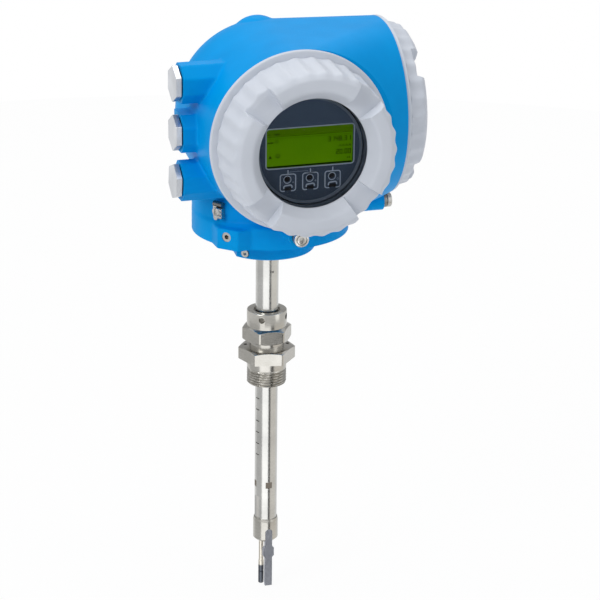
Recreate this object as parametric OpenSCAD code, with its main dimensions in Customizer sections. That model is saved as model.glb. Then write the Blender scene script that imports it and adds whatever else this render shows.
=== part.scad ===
// Insertion thermal mass flow meter: a turnable transmitter housing with two screwed covers,
// carried by a neck and a steel sensor tube that slides in a threaded compression fitting.
// The origin is the centre of the sealing face under the fitting's hexagon. +Z runs up the stem,
// the display cover faces -Y, the blank cover faces +X and the cable entries face -X.

/* [Process fitting] */
// Outside diameter of the pipe thread
thread_d = 33.2; // [30:0.1:42]
// Length of the thread and its plain band below the hexagon
thread_len = 21.6; // [14:0.1:30]
// Width of the lower hexagon across its flats
fitting_af = 42; // [38:0.5:50]
// Height of the lower hexagon
fitting_hex_h = 10.9; // [8:0.1:16]
// Turn of the lower hexagon about the stem, in degrees
fitting_turn = 48.1; // [0:0.1:60]
// Diameter of the male end that takes the nut
male_d = 29; // [28:0.1:31]
// Height of the male end above the lower hexagon
male_h = 17; // [16:0.1:20]
// Diameter of the two sealing holes in the hexagon
corner_hole_d = 3; // [1.5:0.1:4]

/* [Ferrules] */
// Thickness of both ferrules around the tube
ferrule_t = 2.2; // [1.5:0.1:2.6]
// Height of the lower ferrule
front_ferrule_h = 7; // [5:0.1:9]
// Height of the upper ferrule
back_ferrule_h = 3; // [2:0.1:4]

/* [Compression nut] */
// Width of the nut's hexagon across its flats
nut_af = 37; // [35:0.5:42]
// Height of the nut's hexagon at its corners
nut_hex_h = 9.8; // [8:0.1:15]
// Height of the cone between the hexagon and the collar
nut_cone_h = 7.2; // [4:0.1:9]
// Height of the gap between the two hexagons
nut_gap_h = 6.3; // [3:0.1:8]
// Turn of the nut about the stem, in degrees
nut_turn = 56.4; // [0:0.1:60]
// Diameter of the nut's round collar
collar_d = 33.5; // [32:0.1:35]
// Height of the straight part of the collar
collar_h = 9.5; // [8:0.1:20]
// Diameter of the wide mouth in the top of the collar
collar_mouth_d = 26; // [23:0.1:26.6]
// Depth of that mouth
collar_mouth_depth = 2.4; // [1:0.1:2.8]
// Diameter of the radial spanner holes in the collar
spanner_hole_d = 5.2; // [3:0.1:5.4]
// Depth of the spanner holes
spanner_hole_depth = 3.3; // [2:0.1:3.4]
// Height of the spanner holes above the cone
spanner_hole_rise = 4.4; // [3.5:0.1:6]
// Number of spanner holes
spanner_holes = 4; // [2:1:6]
// Turn of the first spanner hole about the stem, in degrees
spanner_turn = 58.5; // [0:0.1:90]

/* [Stem] */
// Outside diameter of the sensor tube
tube_d = 19.05; // [18:0.05:20]
// Wall of the sensor tube
tube_wall = 1.6; // [1:0.1:2.5]
// Length of tube in view between the collar and the neck
stem_gap_top = 55.7; // [45:0.1:120]
// Length of tube in view between the thread and the sensor head
stem_gap_low = 125; // [115:0.5:300]
// Side of the square windows near the lower end of the tube
window_side = 5.6; // [3:0.1:7]
// Height of the windows' centre above the sensor head
window_above_head = 32.2; // [25:0.1:60]
// Number of windows around the tube
tube_windows = 4; // [2:1:4]
// Depth of the milled flat on the left of the tube
flat_depth = 0.8; // [0.4:0.1:1]
// Length of the milled flat above the sensor head
flat_len = 21; // [8:0.5:22]
// Turn of the milled flat about the stem, in degrees
flat_turn = -158; // [-180:1:180]

/* [Sensor head] */
// Outside diameter of the sensor head
head_d = 21.3; // [20.6:0.1:24]
// Length of the sensor head
head_len = 21; // [18:0.1:30]
// Height of the chamfers at both ends of the sensor head
head_chamfer_h = 2.2; // [1:0.1:4]
// Width of the guard bar
guard_w = 6.2; // [4:0.1:7]
// Thickness of the guard bar
guard_t = 3; // [2:0.1:3.2]
// Length of the guard bar below the sensor head
guard_len = 41.3; // [36:0.1:60]
// Width of the guard bar's shoulder
guard_shoulder_w = 9.4; // [7:0.1:10]
// Height of the guard bar's rounded root in the head
guard_root = 12.3; // [8:0.1:14]
// Diameter of the two sensor pins
pin_d = 4; // [3:0.1:4.4]
// Distance of each pin from the stem's axis
pin_offset = 3.8; // [3:0.1:4]
// Diameter of the dark tips of the pins
pin_tip_d = 4.7; // [4:0.1:5.4]
// Length of the dark tips
pin_tip_len = 22; // [12:0.1:26]
// Length of the pins below the sensor head
pin_len = 42.5; // [34:0.1:60]

/* [Neck] */
// Diameter of the neck below the housing
neck_d = 78; // [70:0.5:90]
// Height of the neck below the housing
neck_h = 16.6; // [14:0.1:30]
// Diameter of the spigot on which the housing turns
spigot_d = 60; // [56:0.5:66]
// Height of that spigot
spigot_h = 24; // [22:0.5:25]
// Diameter of the screw's head in the side of the neck
neck_screw_d = 6.4; // [4:0.1:8]
// Height of that screw above the underside of the neck
neck_screw_rise = 4.8; // [4.8:0.1:8]
// Turn of that screw about the stem, in degrees
neck_screw_turn = -134; // [-180:1:180]

/* [Housing] */
// Height of the cover axes above the foot of the housing
axis_above_foot = 97.3; // [96:0.1:104]
// Radius of the round rims under both covers
rim_r = 73; // [71:0.1:76]
// Distance from the stem to the rim of the display side
front_rim_y = 85; // [84:0.1:92]
// Distance from the stem to the rim of the blank side
side_rim_x = 93.8; // [90:0.1:100]
// Radius of the rounded back corner
corner_r = 74.4; // [73:0.1:77]
// Distance of that corner's centre behind the stem
corner_y = 4.5; // [0:0.1:8]
// Radius of the foot around the stem
foot_r = 62.5; // [60:0.1:66]
// Height of the foot's upright band
foot_h = 17.7; // [14:0.1:18]
// Height of the slope above that band
foot_slope_h = 4; // [3:0.1:6]
// Radius of the wall above the slope
foot_wall_r = 57; // [54:0.1:60]
// Reach of the foot beyond its circle on the blank side
foot_reach = 4.4; // [0:0.1:6]
// Distance from the stem to the face of the lug that carries the lock screw
lug_r = 69.5; // [66:0.1:72]
// Width of that lug's face
lug_w = 21; // [16:0.1:24]
// Radius of the display compartment
front_comp_r = 62; // [54:0.5:62]
// Depth of the display compartment behind its rim
front_depth = 66; // [62:0.5:70]
// Radius of the blank compartment
side_comp_r = 62; // [58:0.5:62]
// Depth of the blank compartment behind its rim
side_depth = 29; // [24:0.5:30]
// Radius of the electronics pocket behind the display compartment
pocket_r = 38; // [34:0.5:39]
// Radius of the threads that carry the covers
cover_thread_r = 64; // [62:0.1:66]
// Depth of those threads behind the rims
cover_thread_depth = 15; // [12:0.5:16]
// Diameter of the screw that locks the housing on the spigot
lock_screw_d = 8; // [5:0.1:9]
// Height of that screw above the foot's underside
lock_screw_rise = 10.5; // [7:0.1:11]
// Turn of that screw about the stem, in degrees
lock_turn = -135; // [-180:1:180]

/* [Ground terminal] */
// Height of the ground terminal above the foot's underside
ground_rise = 28.6; // [28:0.1:32]
// Turn of the ground terminal about the stem, in degrees
ground_turn = -146; // [-160:1:-140]
// Width of the ground terminal
ground_w = 12; // [10:0.1:14]
// Height of the ground terminal
ground_h = 18; // [12:0.1:19]
// Thickness of the ground terminal
ground_t = 3.6; // [2:0.1:5]
// Diameter of the ground screw's head
ground_head_d = 8; // [5:0.1:9]
// Height of the ground screw's head
ground_head_h = 4; // [2:0.1:5]

/* [Cover locks] */
// Diameter of the heads of the lock screws
lock_head_d = 12; // [10:0.1:13]
// Height of those heads
lock_head_h = 4; // [3:0.1:6]
// Thickness of the cams under them
lock_cam_t = 3.2; // [2:0.1:5]
// Diameter of the bosses that carry them
lock_boss_d = 16; // [14:0.1:18]
// Depth of the screw holes in those bosses
lock_hole_depth = 12; // [8:0.1:16]
// Shift of the display cover's lock toward the blank side
front_lock_shift = 0.7; // [-4:0.1:4]
// Turn of the blank cover's lock from its lowest point, in degrees
side_lock_turn = -11; // [-16:1:16]

/* [Cable entries] */
// Distance of the entries in front of the stem
entry_y = 38; // [36:0.5:42]
// Spacing of the entries
entry_pitch = 39.8; // [38:0.1:42]
// Width of each entry boss across its flats
entry_af = 31; // [29:0.1:34]
// Distance from the stem to the faces of the bosses
entry_face_x = 84.5; // [80:0.1:95]
// Diameter of the thread in the entries
entry_thread_d = 20; // [16:0.1:22]
// Width of the plugs across their flats
plug_af = 25.6; // [24:0.1:28]
// Height of the plugs' hexagonal heads
plug_head_h = 7.4; // [5:0.1:10]
// Length of the plugs' threads
plug_thread_len = 11; // [8:0.5:14]

/* [Covers] */
// Thickness of the rim flange of both covers
flange_t = 3.6; // [2.5:0.1:5]
// Radius of the grip behind the front edge
grip_back_r = 68.6; // [67:0.1:70]
// Radius of the grip at the front edge
grip_front_r = 66; // [65:0.1:67]
// Number of grip lobes around each cover
lobes = 30; // [20:1:36]
// Depth of the hollows between the lobes
lobe_depth = 1.7; // [0.8:0.1:2.2]
// Outer radius of the crest on the face
crest_out_r = 60.6; // [59:0.1:62]
// Inner radius of the crest on the face
crest_in_r = 51; // [50:0.1:54]
// Depth of the display cover from its rim to the crest
display_cover_depth = 46.1; // [45:0.1:54]
// Depth of the blank cover from its rim to the crest
side_cover_depth = 21.3; // [20:0.1:30]
// Depth of the display cover's spanner notches at its rim, below the crest
notch_depth = 14.5; // [10:0.1:15]
// Depth of the blank cover's spanner notches at its rim, below the crest
side_notch_depth = 7.5; // [5:0.1:8]
// Width of each spanner notch around the axis, in degrees
notch_angle = 22; // [14:1:30]
// Number of spanner notches
notches = 4; // [2:1:4]

/* [Display] */
// Radius of the window
window_r = 43.7; // [43:0.1:44.5]
// Depth of the window's edge below the crest
window_drop = 9.5; // [8:0.1:10]
// Depth of the blank cover's disc below its crest
side_face_drop = 6.6; // [5:0.1:8]
// Thickness of the glass
glass_t = 5.5; // [4:0.1:6]
// Radius of the display's face
face_r = 42.4; // [41:0.1:42.7]
// Gap between the glass and the display's face
face_gap = 3; // [2:0.1:4]
// Thickness of the display module
display_t = 14; // [11:0.5:16]
// Width of the screen's opening in the face
screen_w = 70; // [60:0.5:70]
// Height of that opening
screen_h = 31.2; // [24:0.1:33]
// Height of the screen's centre above the cover axis
screen_rise = 3.1; // [0:0.1:4]
// Diameter of the three optical key lenses
key_lens_d = 5; // [3:0.1:6]
// Spacing of the key lenses
key_pitch = 18.1; // [17:0.1:20]
// Drop of the key lenses below the cover axis
key_drop = 21.2; // [20.5:0.1:24]

/* [Hidden] */
$fn = 96;

// Clearances, edges and the overrun of all cuts
over = 1;
run = 0.05;
gap = 0.3;
edge = 1;
fine_edge = 0.5;
mid_turn = 45;

// Heights along the stem
tube_r = tube_d / 2;
tube_bore_r = tube_r - tube_wall;
male_r = male_d / 2;
male_z = fitting_hex_h + male_h;
nut_z = fitting_hex_h + nut_gap_h;
nut_cone_z = nut_z + nut_hex_h;
collar_z = nut_cone_z + nut_cone_h;
collar_top_z = collar_z + collar_h;
neck_z = collar_top_z + stem_gap_top;
neck_top_z = neck_z + neck_h;
foot_z = neck_top_z + gap;
axis_z = foot_z + axis_above_foot;
head_top_z = -thread_len - stem_gap_low;
head_z = head_top_z - head_len;
window_z = head_top_z + window_above_head;

// Ferrules: the lower one fills a pocket in the male end, the upper one stands over its rim
ferrule_r = tube_r + ferrule_t;
front_ferrule_z = male_z - front_ferrule_h;
ferrule_pocket_z = front_ferrule_z - gap;
back_ferrule_z = male_z + gap;
nut_shoulder_z = back_ferrule_z + back_ferrule_h + gap;

// Hexagons: their corners, their end chamfers and the sealing holes, turned from the first corner
nut_corner_r = nut_af / 2 / cos(30);
hex_chamfer_h = 1.9;
hex_chamfer_share = 0.97;
corner_hole_r = fitting_af / 2 - corner_hole_d;
corner_hole_turns = [110, -50];
corner_hole_depth = fitting_hex_h / 2;

// Sensor head: the guard bar and the pins are seated in its bore and its front slot
head_r = head_d / 2;
tube_seat = head_len / 4;
head_top_r = (tube_r + head_r) / 2;
head_low_r = head_r - head_chamfer_h;
carrier_z = head_z + edge;
carrier_top_z = carrier_z + head_len / 3;
guard_front_y = head_r - fine_edge;
guard_shoulder_z = head_z - guard_len / 10;
guard_shoulder_h = guard_len / 4;
pin_r = pin_d / 2;
pin_tip_r = pin_tip_d / 2;
pin_groove = pin_tip_d / 10;

// Neck: its left flat, its screw, and the grooves of the spigot for the lock screw's tip and the ring seal
neck_r = neck_d / 2;
spigot_r = spigot_d / 2;
spigot_wall = 8;
neck_flat_share = 0.78;
neck_flat_turn = 175;
spigot_bore_r = spigot_r - spigot_wall;
spigot_top_z = neck_top_z + spigot_h;
neck_screw_z = neck_z + neck_screw_rise;
neck_screw_r = neck_screw_d / 2;
neck_screw_sink = 2;
neck_screw_len = 10;
lock_screw_r = lock_screw_d / 2;
lock_z = foot_z + lock_screw_rise;
lock_groove_depth = 2;
lock_groove_r = spigot_r - lock_groove_depth;
lock_tip_r = lock_groove_r + gap;
lock_socket_r = lock_screw_r / 2;
neck_seal_t = 2;
neck_seal_drop = 4;
neck_seal_z = spigot_top_z - neck_seal_drop;

// Foot of the housing: the sides of its lug, as distances from the stem and from the lug's middle
foot_slope_z = foot_z + foot_h;
foot_wall_z = foot_slope_z + foot_slope_h;
lug_front_r = foot_wall_r - spigot_wall / 2;
lug_front_share = 0.65;
lug_front_side = lug_w * lug_front_share;
lug_back_r = foot_wall_r;
lug_back_share = 1.24;
lug_back_side = lug_w * lug_back_share;
lug_screw_sink = 0.5;
lug_h = foot_h - fine_edge;
foot_left_shift = 4;
foot_back_shift = 2;
foot_swell = 1;

// Body: turned bands at the rims, and a low dome on top
rim_band = 4;
pad_r = 24;
pad_rise = 1.6;
pad_shift = 4;
pad_back = 14;

// Ground terminal on a round boss of the wall above the foot
ground_z = foot_z + ground_rise;
ground_boss_h = 4;
ground_low = ground_rise - ground_h / 2 - foot_h;
ground_slope_r = foot_r + gap - ground_low * (foot_r - foot_wall_r) / foot_slope_h;
ground_boss_r = max(foot_wall_r + ground_boss_h, ground_slope_r);
ground_head_r = ground_head_d / 2;
ground_floor_r = ground_boss_r + ground_t / 2;
ground_slot = 1;

// Cover locks beside the rims
lock_head_r = lock_head_d / 2;
lock_shank_r = lock_head_r / 2;
lock_boss_r = lock_boss_d / 2;
lock_gap = 0.6;
lock_offset = max(rim_r, grip_back_r) + lock_head_r + lock_gap;

// Covers: radii of the spigot, the O-ring and the inner steps
cover_spigot_r = cover_thread_r - run;
cover_spigot_share = 0.75;
cover_spigot_len = cover_thread_depth * cover_spigot_share;
cover_wall = 4;
cover_inner_r = min(cover_spigot_r, min(grip_back_r, grip_front_r) - lobe_depth) - cover_wall;
oring_t = 3.2;
oring_r = cover_thread_r + oring_t / 4;
oring_seat_r = oring_r + oring_t / 2 + run;
oring_groove_r = oring_r - oring_t / 2 - run;
oring_seat = oring_t + run;
grip_groove = 1.5;
face_bevel = 3.6;
lobe_cut_r = 7;
lobe_side = lobe_cut_r - lobe_depth;
side_cover_wall = 6;

// Display stack, measured from the stem along the cover axis
display_crest = front_rim_y + gap + display_cover_depth;
side_crest = side_rim_x + gap + side_cover_depth;
side_face = side_crest - side_face_drop;
window_edge = display_crest - window_drop;
window_lip = 1.5;
glass_top = window_edge - window_lip;
glass_low = glass_top - glass_t;
glass_r = window_r + cover_wall;
glass_bore_r = glass_r + run;
glass_ring_h = 4;
glass_ring_low = glass_low - glass_ring_h;
face_top = glass_low - face_gap;
face_t = 1;
display_low = face_top - display_t;
module_r = face_r - edge;
screen_low = face_top - display_t / 2;
screen_lap = 1;
holder_t = 2;
holder_rim = 4;
holder_r = module_r + holder_rim;
holder_low = display_low - gap - holder_t;
holder_leg_r = 4;
holder_legs = 4;
front_floor = front_rim_y - front_depth;
side_floor = side_rim_x - side_depth;

// Electronics pocket, wire duct and terminal strip
pocket_wall = 4;
pocket_y = pocket_r - front_floor + pocket_wall;
pocket_end_wall = 6;
pocket_end_x = corner_r - pocket_r - pocket_end_wall;
pot_rise = 8;
duct_r = 8;
riser_r = duct_r - edge;
duct_rise = 16;
duct_z = axis_z - front_comp_r + duct_rise;
terminal_count = 8;
terminal_pitch = 5;
terminal_w = terminal_count * terminal_pitch;
terminal_h = 20;
terminal_d = 16;
terminal_drop_share = 0.6;
terminal_drop = front_comp_r * terminal_drop_share;
terminal_screw_r = terminal_pitch / 4;
terminal_screw_len = 4;
terminal_slot = 0.5;

// Entry bosses: octagons that run into the body, and the plugs in their threads
entry_step = 360 / 16;
entry_root_x = entry_face_x / 2;
entry_thread_r = entry_thread_d / 2;
plug_seal_t = 1;
plug_turns = [8, 26, 14];
plug_chamfer_h = 1;

// Frames: the local +Z axis points outward along a cover axis, an entry or a radius of the stem
module front_frame() { translate([0, 0, axis_z]) rotate([90, 0, 0]) children(); }
module side_frame() { translate([0, 0, axis_z]) rotate([0, 90, 0]) children(); }
module entry_frame(row) {
    translate([0, -entry_y, axis_z + row * entry_pitch]) rotate([0, -90, 0]) children();
}
module radial_frame(turn, z) { translate([0, 0, z]) rotate([0, 0, turn]) rotate([0, 90, 0]) children(); }
module front_lock_frame() { front_frame() translate([front_lock_shift, -lock_offset, 0]) children(); }
module side_lock_frame() {
    side_frame() rotate([0, 0, side_lock_turn]) translate([lock_offset, 0, 0]) children();
}

// A cylinder between two distances along the local axis
module rod(r, low, high) { translate([0, 0, low]) cylinder(r = r, h = high - low); }
module cone(r_low, r_high, low, high) {
    translate([0, 0, low]) cylinder(r1 = r_low, r2 = r_high, h = high - low);
}
module pipe(r_out, r_in, low, high) {
    difference() {
        rod(r_out, low, high);
        rod(r_in, low - over, high + over);
    }
}

// A rod with chamfers at both ends
module chamfered_rod(r, low, high, c) {
    cone(r - c, r, low, low + c);
    rod(r, low + c, high - c);
    cone(r, r - c, high - c, high);
}

// A ring of round section
module torus(r, section_r) { rotate_extrude() translate([r, 0]) circle(r = section_r); }

// A hexagonal prism turned to a profile. The profile's cones run on past the corners
module turned_hexagon(af, low, high) {
    intersection() {
        translate([0, 0, low - over]) cylinder(r = af / 2 / cos(30), h = high - low + 2 * over, $fn = 6);
        children();
    }
}

// Height of the point where a chamfer from the end radius reaches past the corner
function past_corner(af, chamfer_h) =
    let(corner = af / 2 / cos(30), end_r = af / 2 * hex_chamfer_share)
    chamfer_h * (corner + over - end_r) / (corner - end_r);

// A hexagonal bar whose corners are turned down at both ends
module hex_bar(af, low, high, chamfer_h) {
    end_r = af / 2 * hex_chamfer_share;
    out_r = af / 2 / cos(30) + over;
    rise = past_corner(af, chamfer_h);
    turned_hexagon(af, low, high) rotate_extrude() polygon([
        [0, low], [end_r, low], [out_r, low + rise], [out_r, high - rise], [end_r, high], [0, high]]);
}

module socket(r, top, depth) { translate([0, 0, top - depth]) cylinder(r = r, h = depth + over, $fn = 6); }

// Pipe thread body, hexagon and male end, bored for the tube and for the lower ferrule
module process_fitting() {
    color("lightgray") difference() {
        union() {
            cone(thread_d / 2 - edge, thread_d / 2, -thread_len, edge - thread_len);
            rod(thread_d / 2, edge - thread_len, 0);
            rotate([0, 0, fitting_turn]) hex_bar(fitting_af, 0, fitting_hex_h, hex_chamfer_h);
            rod(male_r, fitting_hex_h - over, male_z);
        }
        rod(tube_r + run, -thread_len - over, male_z + over);
        rod(ferrule_r + run, ferrule_pocket_z, male_z + over);
        for (turn = corner_hole_turns) rotate([0, 0, fitting_turn + turn]) translate([corner_hole_r, 0, 0])
            rod(corner_hole_d / 2, fitting_hex_h - corner_hole_depth, fitting_hex_h + over);
    }
}

// Lower ferrule, which turns with the tube in the male end
module front_ferrule() {
    color("gainsboro") pipe(ferrule_r, tube_r + run, front_ferrule_z, male_z);
}

// Upper ferrule, which the nut presses down
module back_ferrule() {
    color("silver") pipe(ferrule_r, tube_r + run, back_ferrule_z, back_ferrule_z + back_ferrule_h);
}

// Hexagon nut with a coned shoulder and a round collar with radial spanner holes
module compression_nut() {
    collar_r = collar_d / 2;
    out_r = nut_corner_r + over;
    cone_out_z = nut_cone_z - over * nut_cone_h / (nut_corner_r - collar_r);
    color("lightgray") difference() {
        rotate([0, 0, nut_turn]) turned_hexagon(nut_af, nut_z, collar_top_z) rotate_extrude() polygon([
            [0, nut_z], [nut_af / 2 * hex_chamfer_share, nut_z],
            [out_r, nut_z + past_corner(nut_af, hex_chamfer_h)], [out_r, cone_out_z],
            [collar_r, collar_z], [collar_r, collar_top_z - edge],
            [collar_r - edge, collar_top_z], [0, collar_top_z]]);
        rod(male_r + run, nut_z - over, nut_shoulder_z);
        rod(tube_r + gap, nut_z, collar_top_z + over);
        rod(collar_mouth_d / 2, collar_top_z - collar_mouth_depth, collar_top_z + over);
        for (i = [0:spanner_holes - 1])
            radial_frame(spanner_turn + i * 360 / spanner_holes, collar_z + spanner_hole_rise)
                rod(spanner_hole_d / 2, collar_r - spanner_hole_depth, collar_r + over);
    }
}

// Tube with square windows and a milled flat near its lower end
module sensor_tube() {
    color("gainsboro") difference() {
        pipe(tube_r, tube_bore_r, head_top_z - tube_seat, neck_top_z);
        for (i = [0:tube_windows - 1]) radial_frame(i * 360 / tube_windows - 90, window_z)
            translate([0, 0, tube_r]) cube([window_side, window_side, tube_r], center = true);
        radial_frame(flat_turn, head_top_z + flat_len / 2)
            translate([0, 0, tube_r]) cube([flat_len, tube_d, 2 * flat_depth], center = true);
    }
}

// Head sleeve with a front slot for the guard bar, bored for the tube and the pin carrier
module sensor_head() {
    color("lightgray") difference() {
        union() {
            cone(head_low_r, head_r, head_z, head_z + head_chamfer_h);
            rod(head_r, head_z + head_chamfer_h, head_top_z - head_chamfer_h);
            cone(head_r, head_top_r, head_top_z - head_chamfer_h, head_top_z);
        }
        rod(tube_r + run, head_top_z - tube_seat, head_top_z + over);
        rod(tube_bore_r, head_z - over, head_top_z);
        translate([0, -head_r, 0])
            guard_outline(guard_w / 2 + run, 2 * head_r, head_z - over, guard_root + run);
    }
}

// A bar with a round top, as deep as the given size, whose root reaches into the head
module guard_outline(half_w, depth, low, root) {
    top = head_z + root - half_w;
    translate([-half_w, -depth / 2, low]) cube([2 * half_w, depth, top - low]);
    translate([0, depth / 2, top]) rotate([90, 0, 0]) cylinder(r = half_w, h = depth);
}

// Guard bar in front of the pins, with a wider shoulder below the head
module guard_bar() {
    low_z = guard_shoulder_z - guard_shoulder_h;
    half_w = guard_w / 2;
    half_shoulder = guard_shoulder_w / 2;
    slope = half_shoulder - half_w;
    color("dimgray") translate([0, guard_t / 2 - guard_front_y, 0]) {
        guard_outline(half_w, guard_t, head_z - guard_len, guard_root);
        translate([0, guard_t / 2, 0]) rotate([90, 0, 0]) linear_extrude(height = guard_t) polygon([
            [-half_w, guard_shoulder_z], [-half_shoulder, guard_shoulder_z - slope],
            [-half_shoulder, low_z + slope], [-half_w, low_z], [half_w, low_z],
            [half_shoulder, low_z + slope], [half_shoulder, guard_shoulder_z - slope],
            [half_w, guard_shoulder_z]]);
    }
}

// Plug in the head's bore that holds both pins, cut back behind the guard bar
module pin_carrier() {
    color("silver") difference() {
        rod(tube_bore_r - run, carrier_z, carrier_top_z);
        for (side = [-1, 1]) translate([side * pin_offset, 0, 0])
            rod(pin_r + run, carrier_z - over, carrier_top_z + over);
        translate([-head_r, guard_t - guard_front_y + run - head_d, head_z])
            cube([head_d, head_d, head_len]);
    }
}

// One sensor pin: a thin rod with a thicker tip that has a ring groove
module sensor_pin(side) {
    low = head_z - pin_len;
    tip_top = low + pin_tip_len;
    groove_z = low + pin_tip_len / 2;
    translate([side * pin_offset, 0, 0]) {
        color("gainsboro") rod(pin_r, tip_top - edge, carrier_top_z);
        color("dimgray") difference() {
            chamfered_rod(pin_tip_r, low, tip_top, fine_edge);
            pipe(pin_tip_d, pin_tip_r - pin_groove, groove_z, groove_z + edge);
        }
    }
}

module heated_pin() { sensor_pin(-1); }
module reference_pin() { sensor_pin(1); }

// Neck with the spigot that carries the housing, bored for the tube and the wires
module neck_adapter() {
    color("dodgerblue") difference() {
        union() {
            difference() {
                chamfered_rod(neck_r, neck_z, neck_top_z, edge);
                rotate([0, 0, neck_flat_turn]) translate([neck_r * neck_flat_share, -neck_r, neck_z - over])
                    cube([neck_r, neck_d, neck_h + 2 * over]);
            }
            rod(spigot_r, neck_z + edge, spigot_top_z);
        }
        rod(tube_r + run, neck_z - over, neck_top_z);
        rod(spigot_bore_r, neck_top_z, spigot_top_z + over);
        pipe(spigot_r + over, lock_groove_r, lock_z - lock_screw_r - edge, lock_z + lock_screw_r + edge);
        pipe(spigot_r + over, spigot_r - neck_seal_t, neck_seal_z, neck_seal_z + neck_seal_t);
        radial_frame(neck_screw_turn, neck_screw_z) {
            rod(neck_screw_r + gap, neck_r - neck_screw_sink, neck_r + over);
            rod(neck_screw_r / 2 + run, neck_r - neck_screw_len, neck_r);
        }
    }
}

// Ring seal in the spigot's groove
module neck_seal() {
    color("black") pipe(spigot_r - gap, spigot_r - neck_seal_t, neck_seal_z, neck_seal_z + neck_seal_t);
}

// Screw in a countersink on the neck
module neck_screw() {
    top = neck_r + edge;
    color("silver") radial_frame(neck_screw_turn, neck_screw_z) difference() {
        union() {
            rod(neck_screw_r / 2, neck_r - neck_screw_len, neck_r);
            rod(neck_screw_r, neck_r - neck_screw_sink, top);
        }
        socket(neck_screw_r / 2, top, neck_screw_sink);
    }
}

// Rounded body spanned between both rims and the back corner, with a turned band at each rim
module housing_body() {
    hull($fn = 64) {
        front_frame() rod(rim_r - gap, front_rim_y - rim_band, front_rim_y);
        side_frame() rod(rim_r - gap, side_rim_x - rim_band, side_rim_x);
        translate([0, corner_y, axis_z]) sphere(r = corner_r);
    }
    front_frame() rod(rim_r, front_rim_y - rim_band, front_rim_y);
    side_frame() rod(rim_r, side_rim_x - rim_band, side_rim_x);
}

// Foot around the spigot: upright band, lug for the lock screw, slope, and the wall up to the body
module housing_foot() {
    wall_top_z = axis_z - corner_r / 2;
    for (reach = [0, foot_reach]) translate([reach, 0, 0]) {
        cone(foot_r - edge, foot_r, foot_z, foot_z + edge);
        rod(foot_r, foot_z + edge, foot_slope_z);
    }
    cone(foot_r, foot_wall_r, foot_slope_z, foot_wall_z);
    translate([0, 0, foot_z]) rotate([0, 0, lock_turn]) linear_extrude(height = lug_h) polygon([
        [0, -lug_back_side], [lug_back_r, -lug_back_side], [lug_r, -lug_w / 2], [lug_r, lug_w / 2],
        [lug_front_r, lug_front_side], [0, lug_front_side]]);
    rod(foot_wall_r, foot_slope_z, wall_top_z);
    translate([-foot_left_shift, foot_back_shift, 0]) rod(foot_wall_r + foot_swell, foot_slope_z, wall_top_z);
}

// Octagonal boss of one cable entry, which runs into the body
module entry_boss(row) {
    entry_frame(row) rotate([0, 0, entry_step]) translate([0, 0, entry_root_x])
        cylinder(r = entry_af / 2 / cos(entry_step), h = entry_face_x - entry_root_x, $fn = 8);
}

// Square back of the middle boss
module entry_block() {
    entry_frame(0) translate([-entry_af / 2, 0, entry_root_x])
        cube([entry_af, entry_af / 2, entry_face_x - entry_root_x]);
}

// Threaded mouth with the seat of the O-ring, and the compartment behind it
module cover_mouth(rim, comp_r, floor) {
    rod(comp_r, floor, rim);
    rod(cover_thread_r, rim - cover_thread_depth, rim + over);
    rod(oring_seat_r, rim - oring_seat, rim + over);
}

// Housing of the transmitter with its foot, entry bosses, compartments and all bores
module housing() {
    color("dodgerblue") difference() {
        union() {
            housing_body();
            housing_foot();
            for (row = [-1, 0, 1]) entry_boss(row);
            entry_block();
            front_lock_frame() rod(lock_boss_r, foot_wall_r - lock_boss_r, front_rim_y);
            side_lock_frame() rod(lock_boss_r, side_floor / 2, side_rim_x);
            radial_frame(ground_turn, ground_z) rod(ground_w / 2, foot_wall_r - ground_boss_h, ground_boss_r);
            translate([-pad_shift, corner_y + pad_back, axis_z + corner_r + pad_rise - pad_r])
                sphere(r = pad_r);
        }
        front_frame() cover_mouth(front_rim_y, front_comp_r, front_floor);
        side_frame() cover_mouth(side_rim_x, side_comp_r, side_floor);
        translate([0, pocket_y, 0]) side_frame() rod(pocket_r, -pocket_end_x, side_floor + over);
        rod(spigot_r + run, foot_z - over, spigot_top_z + gap);
        rod(riser_r, spigot_top_z, duct_z);
        translate([0, 0, duct_z]) rotate([90, 0, 0]) rod(duct_r, -duct_r, front_floor + over);
        for (row = [-1, 0, 1]) entry_frame(row) rod(entry_thread_r, front_comp_r / 2, entry_face_x + over);
        radial_frame(lock_turn, lock_z) rod(lock_screw_r + run, spigot_r - over, lug_r + over);
        radial_frame(ground_turn, ground_z)
            rod(ground_head_r / 2 + run, foot_wall_r - ground_boss_h, ground_boss_r + over);
        front_lock_frame() rod(lock_shank_r + run, front_rim_y - lock_hole_depth, front_rim_y + over);
        side_lock_frame() rod(lock_shank_r + run, side_rim_x - lock_hole_depth, side_rim_x + over);
    }
}

// Socket screw that locks the housing on the spigot
module neck_lock_screw() {
    head = lug_r - lug_screw_sink;
    color("silver") radial_frame(lock_turn, lock_z) difference() {
        rod(lock_screw_r, lock_tip_r, head);
        socket(lock_socket_r, head, lock_screw_d);
    }
}

// Saddle of the ground terminal: a plate with a rib along each side
module ground_clamp() {
    color("silver") radial_frame(ground_turn, ground_z) difference() {
        translate([-ground_h / 2, -ground_w / 2, ground_boss_r]) cube([ground_h, ground_w, ground_t]);
        rod(ground_head_r / 2 + run, ground_boss_r - over, ground_boss_r + ground_t + over);
        translate([-ground_h / 2 - over, -ground_head_r - gap, ground_floor_r])
            cube([ground_h + 2 * over, 2 * (ground_head_r + gap), ground_t]);
    }
}

// Screw of the ground terminal with a slotted round head
module ground_screw() {
    seat = ground_floor_r + gap;
    top = seat + ground_head_h;
    color("silver") radial_frame(ground_turn, ground_z) difference() {
        union() {
            rod(ground_head_r / 2, foot_wall_r, seat);
            rod(ground_head_r, seat, top);
        }
        translate([-ground_head_d, -ground_slot / 2, top - ground_head_h / 2])
            cube([2 * ground_head_d, ground_slot, ground_head_h]);
    }
}

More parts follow.
